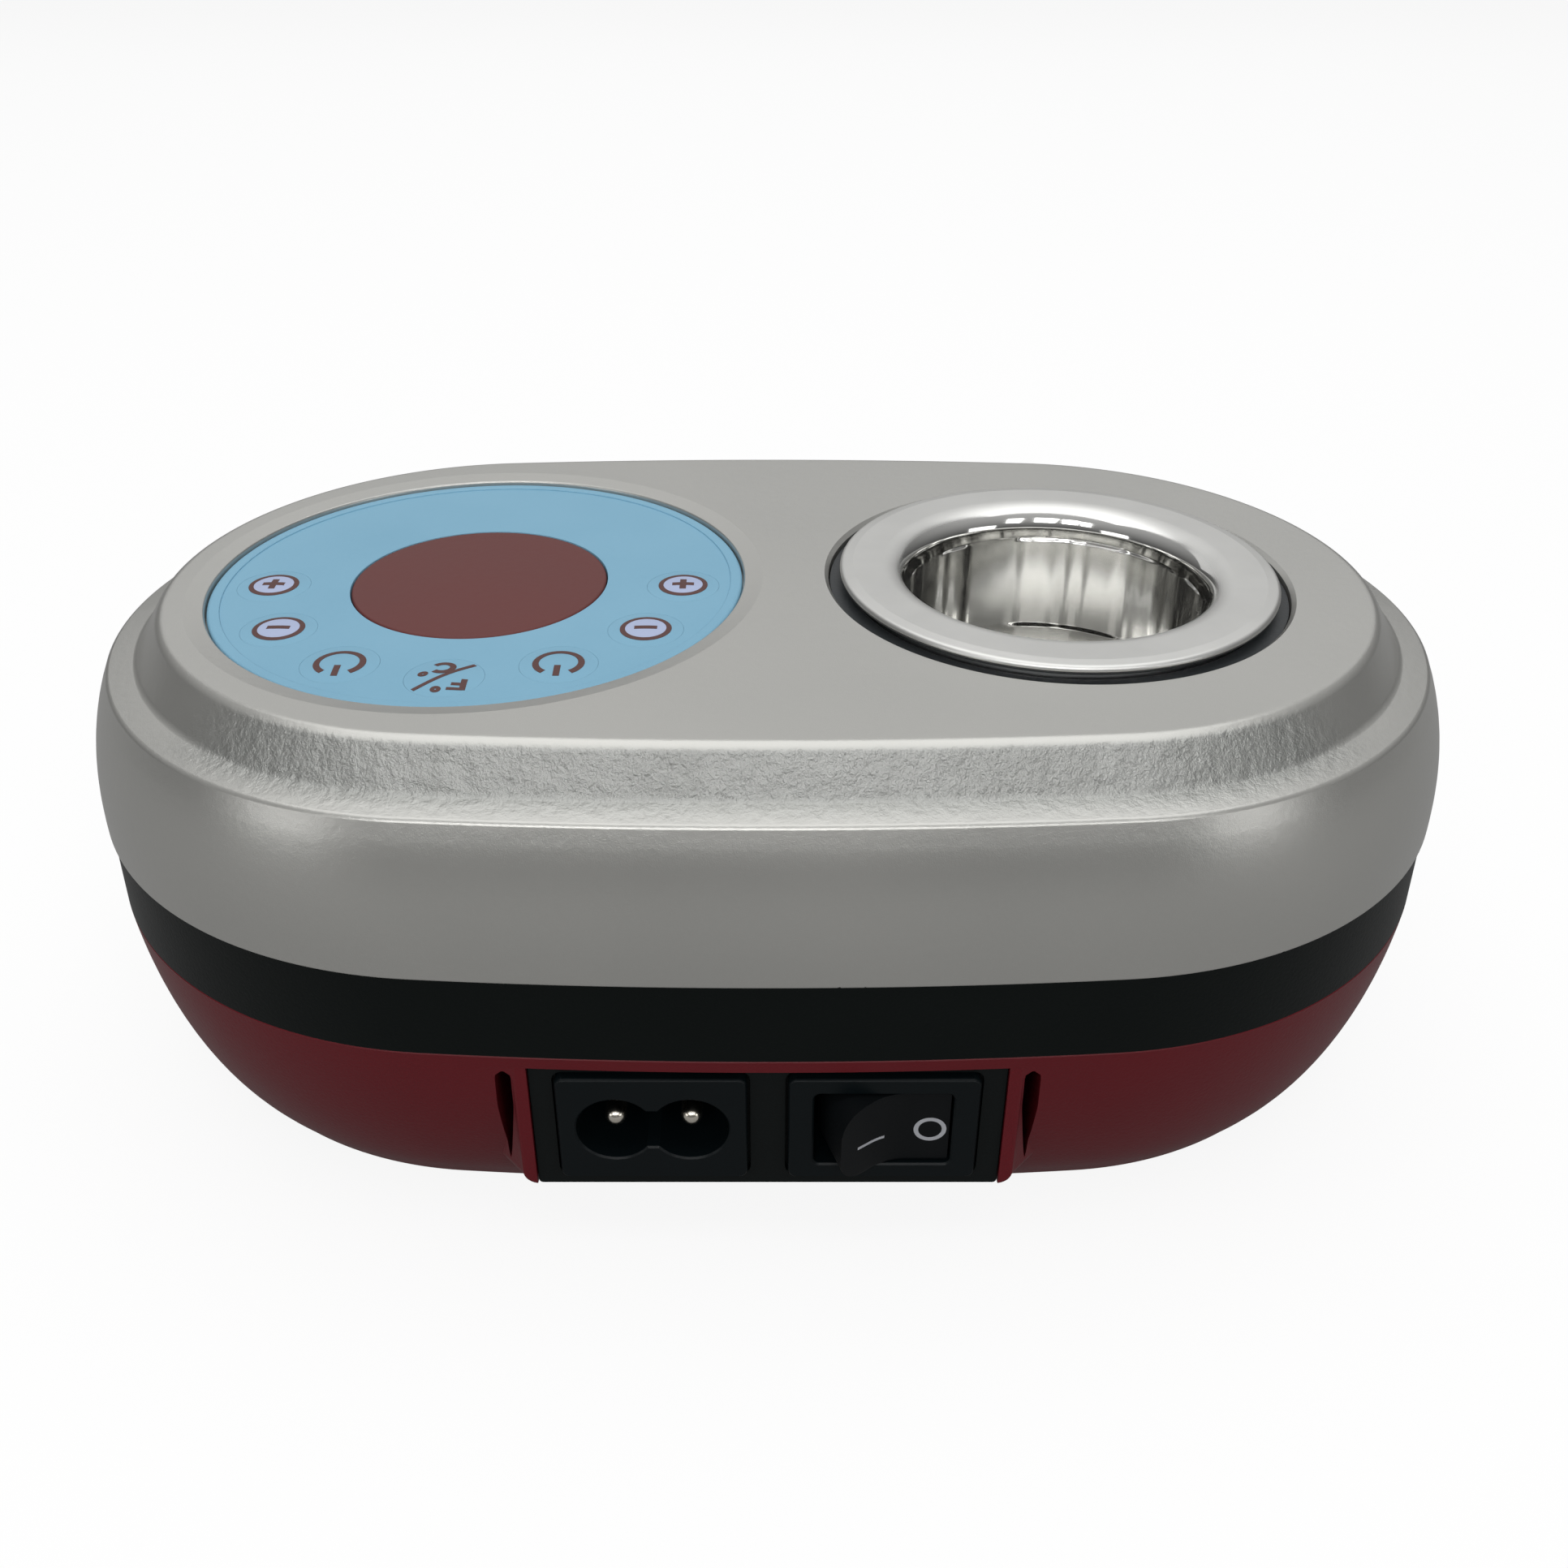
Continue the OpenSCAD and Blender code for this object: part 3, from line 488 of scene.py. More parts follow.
# %% Finish a piece
SLIGHT, LEVEL = 0.9976, 0.99999       # cosines: a bend of four degrees, and a level face


def bmesh_of(mesh):
    bm = bmesh.new()
    bm.from_mesh(mesh)
    return bm


def mesh_of(bm, name):
    mesh = bpy.data.meshes.new(name)
    bm.to_mesh(mesh)
    bm.free()
    return mesh


def built(parts):
    """A bmesh of parts. Each part is a helper from above, followed by what it takes."""
    bm = bmesh.new()
    for make, *given in parts:
        make(bm, *given)
    return bm


def finish_piece(name, source, finish, body="housing", nodes=(), angle=32,
                 weighted=True):
    if isinstance(source, bpy.types.Mesh):
        source = bmesh_of(source)
    bm = built(source) if isinstance(source, list) else source
    bmesh.ops.remove_doubles(bm, verts=bm.verts, dist=MERGE)
    bmesh.ops.dissolve_degenerate(bm, edges=bm.edges, dist=SLIVER)
    bmesh.ops.recalc_face_normals(bm, faces=bm.faces)
    mesh = mesh_of(bm, name)
    mesh.materials.append(finish.material)
    mesh.shade_smooth()
    mesh.set_sharp_from_angle(angle=math.radians(angle))
    faces_of = {}
    for face in mesh.polygons:
        for key in face.edge_keys:
            faces_of.setdefault(key, []).append(face.normal)
    for edge in mesh.edges:
        pair = faces_of.get(tuple(sorted(edge.vertices)), [])
        bent = len(pair) == 2 and pair[0].dot(pair[1]) < SLIGHT
        if bent and max(abs(normal.z) for normal in pair) > LEVEL:
            edge.use_edge_sharp = True
    made = linked(name, mesh)
    if weighted:
        modifier = made.modifiers.new("flat faces stay flat", "WEIGHTED_NORMAL")
        modifier.keep_sharp = True
    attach(made, body)
    if nodes:
        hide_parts(*nodes)
    low, high = ([round(pick(v.co[i] for v in mesh.vertices) / MM, 1) for i in range(3)]
                 for pick in (min, max))
    print(name, len(mesh.polygons), "faces, from", low, "to", high)
    return made


print("finish_piece is ready")

# %% [markdown]
# ## Floor and light
#
# A product photograph on white is lit by large soft lamps. The floor is a plain pale plane. What
# the camera sees of it is lifted to white with Light Path's camera ray, while its shading still
# carries the soft shadow of the housing. All other rays see a darker floor, because little light
# reaches the bowl from below in the photograph, and the pot mirrors few white areas.

# %% Floor and world
FLOOR_SEEN, FLOOR_LIT = (0.92, 0.92, 0.92, 1), (0.22, 0.22, 0.22, 1)
LIFT_SEEN, LIFT_MIRRORED = 0.88, 0.14


def ray_kinds(tree):
    return {s.name: Value(tree, s) for s in tree.nodes.new("ShaderNodeLightPath").outputs}


bm = bmesh.new()
bm.faces.new([bm.verts.new(corner) for corner in ((-4, -3, 0), (4, -3, 0), (4, 6, 0), (-4, 6, 0))])
floor = linked("floor", mesh_of(bm, "floor"))
white = Finish("white floor", (0.60, 0.60, 0.60), 0.9)
rays = ray_kinds(white.tree)
mirrored = rays["Is Glossy Ray"].at_least(rays["Is Transmission Ray"])
seen = rays["Is Camera Ray"].at_least(mirrored * LIFT_MIRRORED)
white.set(base_color=rays["Is Camera Ray"].blend(FLOOR_LIT, FLOOR_SEEN))
glow = seen.node("ShaderNodeEmission", {"Color": (1, 1, 1, 1), "Strength": 1.0})
surface = Value(white.tree, white.shader.outputs[0])
mixed = seen.node("ShaderNodeMixShader", {0: seen * LIFT_SEEN, 1: surface, 2: glow})
mixed.put(white.tree.nodes["Material Output"].inputs[0], mixed)
floor.data.materials.append(white.material)

world = bpy.data.worlds.new("studio")
world.use_nodes = True
bpy.context.scene.world = world
sky = world.node_tree.nodes["Background"]
sky.inputs["Color"].default_value = (1, 1, 1, 1)
camera_ray = ray_kinds(world.node_tree)["Is Camera Ray"]
up = camera_ray.node("ShaderNodeTexCoord").axes()[2]
dim = up.at_least(0.0) * 0.56 + 0.04
camera_ray.put(sky.inputs["Strength"], camera_ray.at_least(dim))
print("floor and world are ready")

# %% [markdown]
# Wide softboxes above and behind light the flat top. Four windows in front leave the soft bright
# places on the shoulder, and two side panels lift the ends of the shells.

# %% Lamps
def lamp(name, place, aim, size, watts):
    data = bpy.data.lights.new(name, "AREA")
    data.shape, data.size, data.size_y, data.energy = "RECTANGLE", size[0], size[1], watts
    made = linked(name, data)
    made.location = place
    made.rotation_euler = (Vector(aim) - Vector(place)).to_track_quat("-Z", "Y").to_euler()
    made.visible_camera = False


WINDOW_HEIGHT, WATTS_PER_AREA = 0.36, 14
lamp("overhead softbox", (0.0, 0.1, 1.0), (0, 0, 0.03), (1.35, 0.9), 5.2)
lamp("back softbox", (0.0, 1.0, 0.62), (0, 0, 0.06), (1.8, 0.7), 1.95)
for x, width in ((-0.46, 0.14), (-0.24, 0.2), (0.06, 0.26), (0.46, 0.2)):
    lamp("front window", (x, -0.8, 0.64), (x * 0.3, 0, 0.05), (width, WINDOW_HEIGHT),
         WATTS_PER_AREA * width * WINDOW_HEIGHT)
for x in (-1.0, 1.0):
    lamp("side panel", (x, -0.75, 0.28), (0, 0, 0.04), (0.5, 0.3), 1.0)
bpy.context.scene.view_settings.view_transform = "Standard"

# %% [markdown]
# ## Finishes of the outside
#
# The top shell is sprayed with a satin silver paint. Two things make it read as paint and not as
# bare metal: a fine orange peel over all of it, and coarser wrinkles on the front wall of the
# raised top, where the spray came in flat. Both are bump, with a little spread in the roughness.
# That front wall is also painted a little darker, a painted shade over its wrinkles.
# A few dark scratches on the brow and chips at the lower edge show what is under the paint.

# %% Silver paint, black plastic and red plastic
def silver_paint():
    paint = Finish("silver paint", (0.40, 0.405, 0.40), 0.36, metallic=0.75, coat=0.1)
    _, y, z = paint.point.axes()
    # This mask of the front wall carries the wrinkle bump and the wall's painted shade.
    wall_bump_and_painted_light = z.band(56.0, 57.4, 61.0, 61.8) * y.fall(-37.0, -27.0)
    peel = paint.noise(0.9, 4, 0.6)
    wrinkle = paint.noise(0.55, 5, 0.7, at=paint.scaled(1, 1, 0.8))
    flake = paint.cells(9.0)
    paint.bump(peel * 0.08 + wrinkle * wall_bump_and_painted_light * 1.4 + flake * 0.02, 0.35)
    clouds = paint.noise(0.03, 2)
    brow = z.band(61.15, 61.3, 61.7, 61.85) * y.fall(-35.0, -33.0)
    scratches = brow * paint.noise(0.11, 3).step(0.65, 0.67)
    chips = z.fall(SILVER_Z + 0.3, SILVER_Z + 0.5) * paint.noise(0.3, 3).step(0.67, 0.68)
    worn = scratches.at_least(chips)
    # Clouds and flake are random tone; the front wall is painted darker here, a painted shade.
    shade = (clouds * 0.35 + flake * 0.15 + wall_bump_and_painted_light * -0.9 + 0.5).blend(
        (0.34, 0.345, 0.33, 1), (0.50, 0.495, 0.47, 1))
    paint.set(roughness=clouds * 0.06 + flake * 0.03 + worn * 0.2 + 0.27,
              base_color=worn.blend(shade, (0.03, 0.03, 0.03, 1)))
    return paint


def moulded(name, dark, light, roughness, grain=2.2, depth=0.03, shine=0.5, coat=0.0):
    """Moulded plastic: a fine grain in the bump, slow clouds in colour and gloss."""
    plastic = Finish(name, light, roughness, coat=coat, **{"Specular IOR Level": shine})
    clouds, fine = plastic.noise(0.05, 2), plastic.noise(grain, 3)
    plastic.bump(fine, depth)
    plastic.paint(clouds * 0.75 + fine * 0.25, dark, light,
                  clouds * 0.1 + fine * 0.06 + (roughness - 0.08))
    return plastic


SILVER = silver_paint()
BLACK = moulded("black band plastic", (0.0018, 0.0032, 0.0030), (0.0034, 0.0052, 0.0048), 0.42,
                shine=0.11)
RED = moulded("dark red plastic", (0.100, 0.0062, 0.0100), (0.130, 0.0085, 0.0135), 0.4, shine=0.2)
print("silver, black and red are ready")

# %% [markdown]
# ## The silver top shell
#
# The shell is one closed skin. Its wall is swept round the oval by the tree, from the inner edge
# of the raised flat top, over three roundings, down the bulged side to the lower edge and back up
# inside. The flat top is a panel with two round holes, and the keypad's recess is turned.

# %% Top shell
SHOULDER_Z = 56.2                 # the foot of the raised top's wall
RIM = -11.2                       # offset at which the flat top begins
PAD, POT = (PAD_X, LIFT_Y), (POT_X, LIFT_Y)
PAD_SEAT_Z, KEY_SEAT_Z, SEAT_BACK_Z = 60.2, 59.3, 57.8
KEY_TURN = [math.radians(-90 + (i - 3) * 29) for i in range(7)]
KEY_AT = [(PAD_X + 25.5 * math.cos(t), LIFT_Y + 25.5 * math.sin(t)) for t in KEY_TURN]


def silver_offset(z):
    return 1.4 - 3.7 * max(0, (z - SILVER_Z) / (SHOULDER_Z - SILVER_Z)) ** 2.35


def swept(points):
    return run_tree(OVAL_TREE, line_mesh(points), end_steps=END_STEPS, side_steps=SIDE_STEPS)


def at_keys(radius, steps):
    return [circle(at, radius, steps) for at in KEY_AT]


side = [(silver_offset(54.2 - 15.6 * i / 26), 54.2 - 15.6 * i / 26) for i in range(27)]
outer = round_corners([(RIM, TOP_Z), (-9.2, TOP_Z), (-5.9, 57), (-2.3, SHOULDER_Z), side[0]],
                      {1: 1.6, 2: 1.2, 3: 0.8}, 8)[:-1]
lower = round_corners([side[-1], (1.4, SILVER_Z), (-0.8, SILVER_Z), (-0.9, 40)],
                      {1: 0.25, 2: 0.2}, 4)
inner = [(silver_offset(z) - WALL, z) for z in (43, 48, 53)]
inner += [(-7.4, 54.8), (-10.7, CEILING_Z), (RIM, CEILING_Z)]

bm = bmesh_of(swept(outer + side[:-1] + lower[:-1] + inner))
panel(bm, TOP_Z, oval_ring(RIM), [circle(PAD, 35.4, ROUND), circle(POT, 28.9, ROUND)])
lip = round_corners([(35.4, TOP_Z), (33.15, 61.625), (33, 61.3), (33, PAD_SEAT_Z)], {1: 0.2}, 4)
turn(bm, PAD, lip, ROUND)
panel(bm, PAD_SEAT_Z, circle(PAD, 33, ROUND), at_keys(5.35, 48) + [circle(PAD, 15.9, 96)])
for at in KEY_AT:
    seat = [(5.35, PAD_SEAT_Z), (5.35, KEY_SEAT_Z), (2.05, KEY_SEAT_Z), (2.05, SEAT_BACK_Z)]
    turn(bm, at, seat, 48)
turn(bm, PAD, [(15.9, PAD_SEAT_Z), (15.9, 59.2), (14.6, 59.2), (14.6, SEAT_BACK_Z)], 96)
panel(bm, SEAT_BACK_Z, circle(PAD, 34.5, ROUND), at_keys(2.05, 48) + [circle(PAD, 14.6, 96)])
turn(bm, PAD, [(34.5, SEAT_BACK_Z), (34.5, CEILING_Z)], ROUND)
panel(bm, CEILING_Z, oval_ring(RIM), [circle(PAD, 34.5, ROUND), circle(POT, 28.4, ROUND)])
turn(bm, POT, [(28.9, TOP_Z), (28.4, 61.5), (28.4, CEILING_Z)], ROUND)
finish_piece("silver_top_shell", bm, SILVER, nodes=["top_shell"])

# %% [markdown]
# ## The black band
#
# The band is nothing but the rule: one closed profile, swept. It sits 0.4 mm behind the silver
# edge, and two thin lips reach into the shells above and below it.

# %% Middle band
band_profile = round_corners(
    [(1.25, BAND_Z), (1.0, SILVER_Z), (-1.0, SILVER_Z), (-1.0, 41.3), (-2.4, 41.3), (-2.75, 26.5),
     (-1.35, 26.5), (-1.05, BAND_Z)], {0: 0.15, 1: 0.15}, 3)
finish_piece("black_band", swept(band_profile + band_profile[:1]), BLACK, nodes=["middle_band"])

# %% [markdown]
# ## The dark red bowl
#
# The bowl is swept too, and then it is worked on as a moulding is: a squared frame is joined on
# for the sockets, and the pocket, the two narrow slits, the seats of the feet, the screw holes and
# the vents in the floor are cut out. Exact Boolean modifiers do this, and the result is kept.

# %% Bowl: helpers
def bowl_offset(z):
    t = (BAND_Z - z) / 27.6
    return 1.25 - 1.75 * t - 10.1 * (1 - math.sqrt(1 - t * t))


def upright(loop, y):
    """A loop of (x, z) stood up at a distance y from the housing's middle."""
    return [(x, y + LIFT_Y, z) for x, z in loop]


def rounded_rectangle(centre, size, radius, steps):
    (cx, cz), (w, h) = centre, size
    corners = [(cx + i * w / 2, cz + k * h / 2) for i, k in ((-1, -1), (1, -1), (1, 1), (-1, 1))]
    return round_corners(corners, {i: radius for i in range(4)}, steps)


def solid(*parts):
    bm = built(parts)
    bmesh.ops.remove_doubles(bm, verts=bm.verts, dist=SLIVER)
    bmesh.ops.recalc_face_normals(bm, faces=bm.faces)
    return mesh_of(bm, "solid")


def boolean(mesh, steps):
    """Joins or cuts mesh with each (operation, other mesh), exactly, and returns the result."""
    made, others = linked("body", mesh), []
    for operation, other in steps:
        others.append(linked("cutter", other))
        modifier = made.modifiers.new(operation, "BOOLEAN")
        modifier.operation, modifier.object, modifier.solver = operation, others[-1], "EXACT"
    return plain(made, *others)


print("offsets of the bowl:", [round(bowl_offset(z), 2) for z in (BAND_Z, 15.0, FLOOR_Z)])

# %% [markdown]
# The frame round the sockets flares into the bowl at its foot, so it is a block through ten
# outlines. The slits are lens shaped, and the cutters for plate and pocket are plain boxes.

# %% Bowl: its wall, the frame and the cutters
heights = [3.5 + 24.5 * (1 - (1 - i / 30) ** 1.4) for i in range(30)]
inner_heights = [5.6 + 22.4 * (1 - (1 - i / 14) ** 1.3) for i in range(14)]
bowl_outer = round_corners([(RIM, FLOOR_Z), (bowl_offset(2.1), FLOOR_Z), (bowl_offset(3.5), 3.5)],
                           {1: 1.2}, 5)[:-1]
bowl_outer += [(bowl_offset(z), z) for z in heights] + [(1.25, 27.9), (1.15, BAND_Z)]
bowl_inner = [(-0.95, BAND_Z)] + [(bowl_offset(z) - WALL, z) for z in reversed(inner_heights)]
bm = bmesh_of(swept(bowl_outer + bowl_inner + [(RIM, BOWL_FLOOR_Z)]))
panel(bm, FLOOR_Z, oval_ring(RIM))
panel(bm, BOWL_FLOOR_Z, oval_ring(RIM))
bmesh.ops.remove_doubles(bm, verts=bm.verts, dist=MERGE)
bmesh.ops.recalc_face_normals(bm, faces=bm.faces)
bowl = mesh_of(bm, "bowl")


def frame_outline(grow, flare):
    w, low, high = 28.2 + grow + flare, 8.4 - grow, 26.3
    foot = 1.9 + grow
    return round_corners([(-w, low), (w, low), (w, high), (-w, high)], {0: foot, 1: foot}, 8)


def slit_outline(side):
    """An upright slit beside the frame: blunt at the top, a point at the foot, leaning inwards."""
    right, left = [], []
    for t in [i / 24 for i in range(25)]:
        blunt = math.sqrt(max(0.01, 1 - (max(0, t - 0.93) / 0.07) ** 2))
        half = 0.05 + 0.85 * min(1, t / 0.6) ** 0.8 * blunt
        middle, z = side * (29.75 - t * 0.65), 10.6 + 15.2 * t
        right.append((middle + half, z))
        left.append((middle - half, z))
    return right + left[::-1]


FRAME_LEVELS = (         # how far the outline grows, how far it flares, and its y
    (-0.5, 0, -50.9), (-0.15, 0, -50.75), (0, 0, -50.4), (0, 0.4, -49.9), (0, 1.1, -49.1),
    (0, 2.1, -48.0), (0, 3.3, -46.7), (0, 4.6, -45.2), (0, 5.2, -43.6), (0, 5.2, -42))
SOCKET_FRAME = solid((slab, [upright(frame_outline(*shape), y) for *shape, y in FRAME_LEVELS]))
PLATE_BACK_Y = -48.1
PLATE_ROOM = solid((box, (-26.5, -60, 3.4), (26.5, PLATE_BACK_Y + LIFT_Y, 26.4)))
POCKET = solid((box, (-24.8, -60, 9.6), (24.8, -40 + LIFT_Y, 25.2)))
SLITS = solid(*[(slab, [upright(slit_outline(side), y) for y in (-60, -40)]) for side in (-1, 1)])
FEET_AT = [(x, y + LIFT_Y) for x in (-40, 40) for y in (-28, 28)]
SCREWS_AT = [(x, y + LIFT_Y) for x in (-56.968, 56.968) for y in (-26.54, 26.54)]
print("screws at", SCREWS_AT)

# %% [markdown]
# The holes under the housing repeat, so they come from a second small tree: it puts a copy of a
# shape on every vertex of the object, and makes the copies real. The same tree serves again below
# for the feet and the screws.

# %% A tree that repeats a shape, and the cutters for the floor
def copies_tree():
    tree = bpy.data.node_groups.new("copies at points", "GeometryNodeTree")
    given, end = add_inputs(tree, [("Shape", "Object", None), ("Material", "Material", None)])
    points = given["Geometry"]
    shape = points.node("GeometryNodeObjectInfo", {"Object": given["Shape"]}, "Geometry")
    placed = {"Points": points, "Instance": shape}
    close_tree(points.node("GeometryNodeInstanceOnPoints", placed), given, end)
    return tree


COPIES_TREE = copies_tree()


def copies(shape, places, height, finish=None):
    """The mesh of shape, made round the origin, at each (x, y) of places and at one height."""
    source = linked("shape", shape)
    mesh = bpy.data.meshes.new("places")
    mesh.from_pydata([Vector((x, y, height)) * MM for x, y in places], [], [])
    inputs = {"material": finish.material} if finish else {}
    made = run_tree(COPIES_TREE, mesh, shape=source, **inputs)
    bpy.data.objects.remove(source)
    return made


foot_seat = solid((turn, (0, 0), [(0, 0), (6, 0), (6, 1.8), (0, 1.8)], 64))
screw_hole = solid((turn, (0, 0), [(0, 0), (3.1, 0), (3.1, 11), (0, 11)], 40))
vent = solid((box, (-1, 0, 0), (1, 18, 5.5)))
cuts = [PLATE_ROOM, POCKET, SLITS, copies(foot_seat, FEET_AT, 0.5),
        copies(screw_hole, SCREWS_AT, -1),
        copies(vent, [(i * 6, 18 + LIFT_Y) for i in range(-4, 5)], 0.5)]
bowl = boolean(bowl, [("UNION", SOCKET_FRAME)] + [("DIFFERENCE", cut) for cut in cuts])
finish_piece("dark_red_bowl", bowl, RED, nodes=["bottom_shell"])

# %% [markdown]
# ## The soft keypad
#
# The keypad is a sheet of light blue silicone glued into the recess. It has a low rim just inside
# its edge, and seven shallow domes. On the real sheet the domes are part of it, but each is pressed
# by itself, so here a key is its own piece in a close round hole and rides on its own body.

# %% Silicone and the sheet
SILICONE = moulded("blue silicone", (0.158, 0.350, 0.485), (0.215, 0.415, 0.550), 0.5, grain=1.4,
                   depth=0.02, shine=0.3)
PAD_Z, PAD_HOLE, EASE = 61.05, 4.47, 0.02
bm = bmesh.new()
rim = round_corners([(31.3, PAD_Z), (31.3, 61.22), (32.85, 61.22), (32.85, PAD_SEAT_Z)],
                    {1: 0.15, 2: 0.45}, 5)
turn(bm, PAD, [(31.0, PAD_Z)] + rim, ROUND)
holes = at_keys(PAD_HOLE + EASE, 56) + [circle(PAD, 15.95, 128)]
panel(bm, PAD_Z, circle(PAD, 31.0, ROUND), holes)
turn(bm, PAD, [(15.95, PAD_Z), (15.9, 60.9), (15.9, PAD_SEAT_Z)], 128)
for at in KEY_AT:
    turn(bm, at, [(PAD_HOLE + EASE, PAD_Z), (PAD_HOLE, 61.0), (PAD_HOLE, PAD_SEAT_Z)], 56)
holes = at_keys(PAD_HOLE, 56) + [circle(PAD, 15.9, 128)]
panel(bm, PAD_SEAT_Z, circle(PAD, 32.85, ROUND), holes)
finish_piece("blue_keypad", bm, SILICONE, nodes=["keypad_membrane"])

# %% [markdown]
# ### Keys and their printed marks
#
# The marks are printed in dark brown, and the plus and minus marks have a pale fill. They are made
# as thin ribbons that lie on the dome, because a print follows the surface under it. The housing
# is used from its far side, so every mark is turned half round for this camera.

# %% Marks: a printed line, and the lines of each mark
INK = moulded("brown print", (0.060, 0.016, 0.013), (0.085, 0.024, 0.019), 0.5, grain=3)
FILL = moulded("pale print", (0.34, 0.40, 0.58), (0.40, 0.46, 0.64), 0.5, grain=3)
KEY_R, SUNK = 4.46, 0.02       # a print is sunk by SUNK into the surface that carries it


def dome(r):
    """Height of a key's top at r millimetres from its centre."""
    return 61.04 + 0.34 * max(0.0, 1 - (r / KEY_R) ** 2) ** 1.4


def printed_line(bm, points, width, closed, place, lift):
    """A ribbon through points. place turns a point and a height over the face into a position."""
    path, rows = [Vector(p) for p in points], []
    for i, p in enumerate(path):
        before = path[i - 1] if closed or i else p
        after = path[(i + 1) % len(path)] if closed or i + 1 < len(path) else p
        across = (after - before).normalized().orthogonal() * width / 2
        a, b = p - across, p + across
        rows.append([place(a, -SUNK), place(a, lift), place(b, lift), place(b, -SUNK)])
    if closed:
        wall_between(bm, rows + rows[:1])
    else:
        slab(bm, rows)


def bar(a, b, steps=8):
    return [(a[0] + (b[0] - a[0]) * i / steps, a[1] + (b[1] - a[1]) * i / steps)
            for i in range(steps + 1)]


def mark_lines(name):
    """Each line of a key's mark as (points, width, closed)."""
    if name.startswith("power"):
        return [(arc(2.6, 126, 414), 0.74, False), (bar((0, 0.8), (0, 3.0)), 0.74, False)]
    if name == "unit":
        return [(bar((-3.0, -2.95), (3.0, 2.95)), 0.55, False),
                (arc(1.15, 42, 325, (0.45, -1.95), 20), 0.72, False),
                (circle((2.45, -0.5), 0.36, 14), 0.5, True),
                (circle((0.45, 2.95), 0.36, 14), 0.5, True),
                (bar((-2.45, 0.75), (-2.45, 3.0)), 0.68, False),
                (bar((-2.45, 2.8), (-0.7, 2.8)), 0.5, False),
                (bar((-2.45, 1.85), (-1.1, 1.85)), 0.55, False)]
    lines = [(circle((0, 0), 2.75, 48), 0.62, True), (bar((-1.35, 0), (1.35, 0)), 0.8, False)]
    return lines + [(bar((0, -1.35), (0, 1.35)), 0.8, False)] * name.startswith("plus")


print("the unit mark has", len(mark_lines("unit")), "lines")

# %% [markdown]
# One loop makes the seven keys: a turned cap with a stem, its printed mark, and under a plus or a
# minus the pale fill. All three ride on the key's own body.

# %% Keys
KEY_NAMES = ["plus_left", "minus_left", "power_left", "unit", "power_right", "minus_right",
             "plus_right"]
DOME_RADII = (0, 0.8, 1.6, 2.4, 3.0, 3.4, 3.7, 3.95, 4.15, 4.3, 4.4, KEY_R)
UNDER = [(KEY_R, PAD_SEAT_Z), (5.1, PAD_SEAT_Z), (5.1, 59.9), (1.8, 59.9), (1.8, 57.55),
         (0, 57.55)]
FILL_LIFT = 0.015

for name, at in zip(KEY_NAMES, KEY_AT):
    body = "key_" + name
    on_dome = lambda p, up: (at[0] - p.x, at[1] - p.y, dome(p.length) + up)
    cap_profile = [(r, dome(r)) for r in DOME_RADII] + UNDER
    finish_piece("keycap_" + name, [(turn, at, cap_profile, 56)], SILICONE, body, [body])
    mark = [(printed_line, *line, on_dome, 0.035) for line in mark_lines(name)]
    finish_piece("mark_" + name, mark, INK, body, weighted=False)
    if name.startswith(("plus", "minus")):
        disc = [(r, dome(r) + FILL_LIFT) for r in (0, 0.9, 1.7, 2.5)]
        disc += [(2.5, dome(2.5) - SUNK), (0, dome(0) - SUNK)]
        finish_piece("fill_" + name, [(turn, at, disc, 48)], FILL, body, weighted=False)

# %% [markdown]
# ### The round window
#
# A brown-red disc covers the display in the middle of the keypad. It is smooth and bare here, and
# has a small rounding at its edge.

# %% Window
WINDOW = moulded("brown-red window", (0.098, 0.024, 0.022), (0.125, 0.031, 0.028), 0.5, grain=0.9,
                 depth=0.015, shine=0.3)
WINDOW_BACK = 59.25
edge = round_corners([(14, 61.16), (15.78, 61.1), (15.78, WINDOW_BACK)], {1: 0.35}, 6)
disc = (turn, PAD, [(0, 61.19), (10, 61.18), *edge, (0, WINDOW_BACK)], 160)
finish_piece("round_window", [disc], WINDOW, nodes=["display_lens"])

# %% [markdown]
# ## The steel pot
#
# The pot is pressed and turned from stainless steel: a broad flange, a rolled mouth, a straight
# wall and a floor with a round corner. The half section is spun. The finish adds fine turning lines
# on the flange, and on the wall soft upright waves in the bump, which break up the mirror image of
# the lamps. The same waves are painted into the wall's colour as lighter and darker upright bands,
# a painted reflection of the lamps.

# %% Pot
def polished_steel():
    steel = Finish("polished steel", (0.72, 0.715, 0.70), 0.10, metallic=1.0)
    x, y, z = steel.point.axes()
    radius = ((x - POT_X) * (x - POT_X) + (y - LIFT_Y) * (y - LIFT_Y)).maths("SQRT")
    spun = steel.point.node("ShaderNodeCombineXYZ", {"X": radius * 6.0, "Y": z * 6.0, "Z": 0.0})
    lines = steel.noise(1.0, 2, 0.6, at=spun)
    flange = z.step(61.9, 63.1)
    # This mask of the bore's wall carries the waves' bump and their painted reflection bands.
    wall_bump_and_painted_light = z.band(45.6, 46.4, 58.4, 59.2) * radius.fall(18.9, 19.1)
    waves_and_painted_reflection = steel.noise(0.13, 2, 0.5, at=steel.scaled(1, 1, 0.02)).step(0.35, 0.65)
    smears = steel.noise(0.12, 3)
    steel.bump(lines * flange * 0.2 + waves_and_painted_reflection * wall_bump_and_painted_light * 30.0, 0.02)
    # Smears are random tone; the waves paint lighter and darker upright bands on the wall, a
    # painted reflection.
    shade = smears * 0.3 + (waves_and_painted_reflection - 0.5) * wall_bump_and_painted_light * 0.7 - flange * 0.3 + 0.35
    steel.paint(shade, (0.56, 0.56, 0.545), (0.90, 0.895, 0.87),
                flange * 0.38 + wall_bump_and_painted_light * 0.10 + smears * 0.03 + 0.06)
    return steel


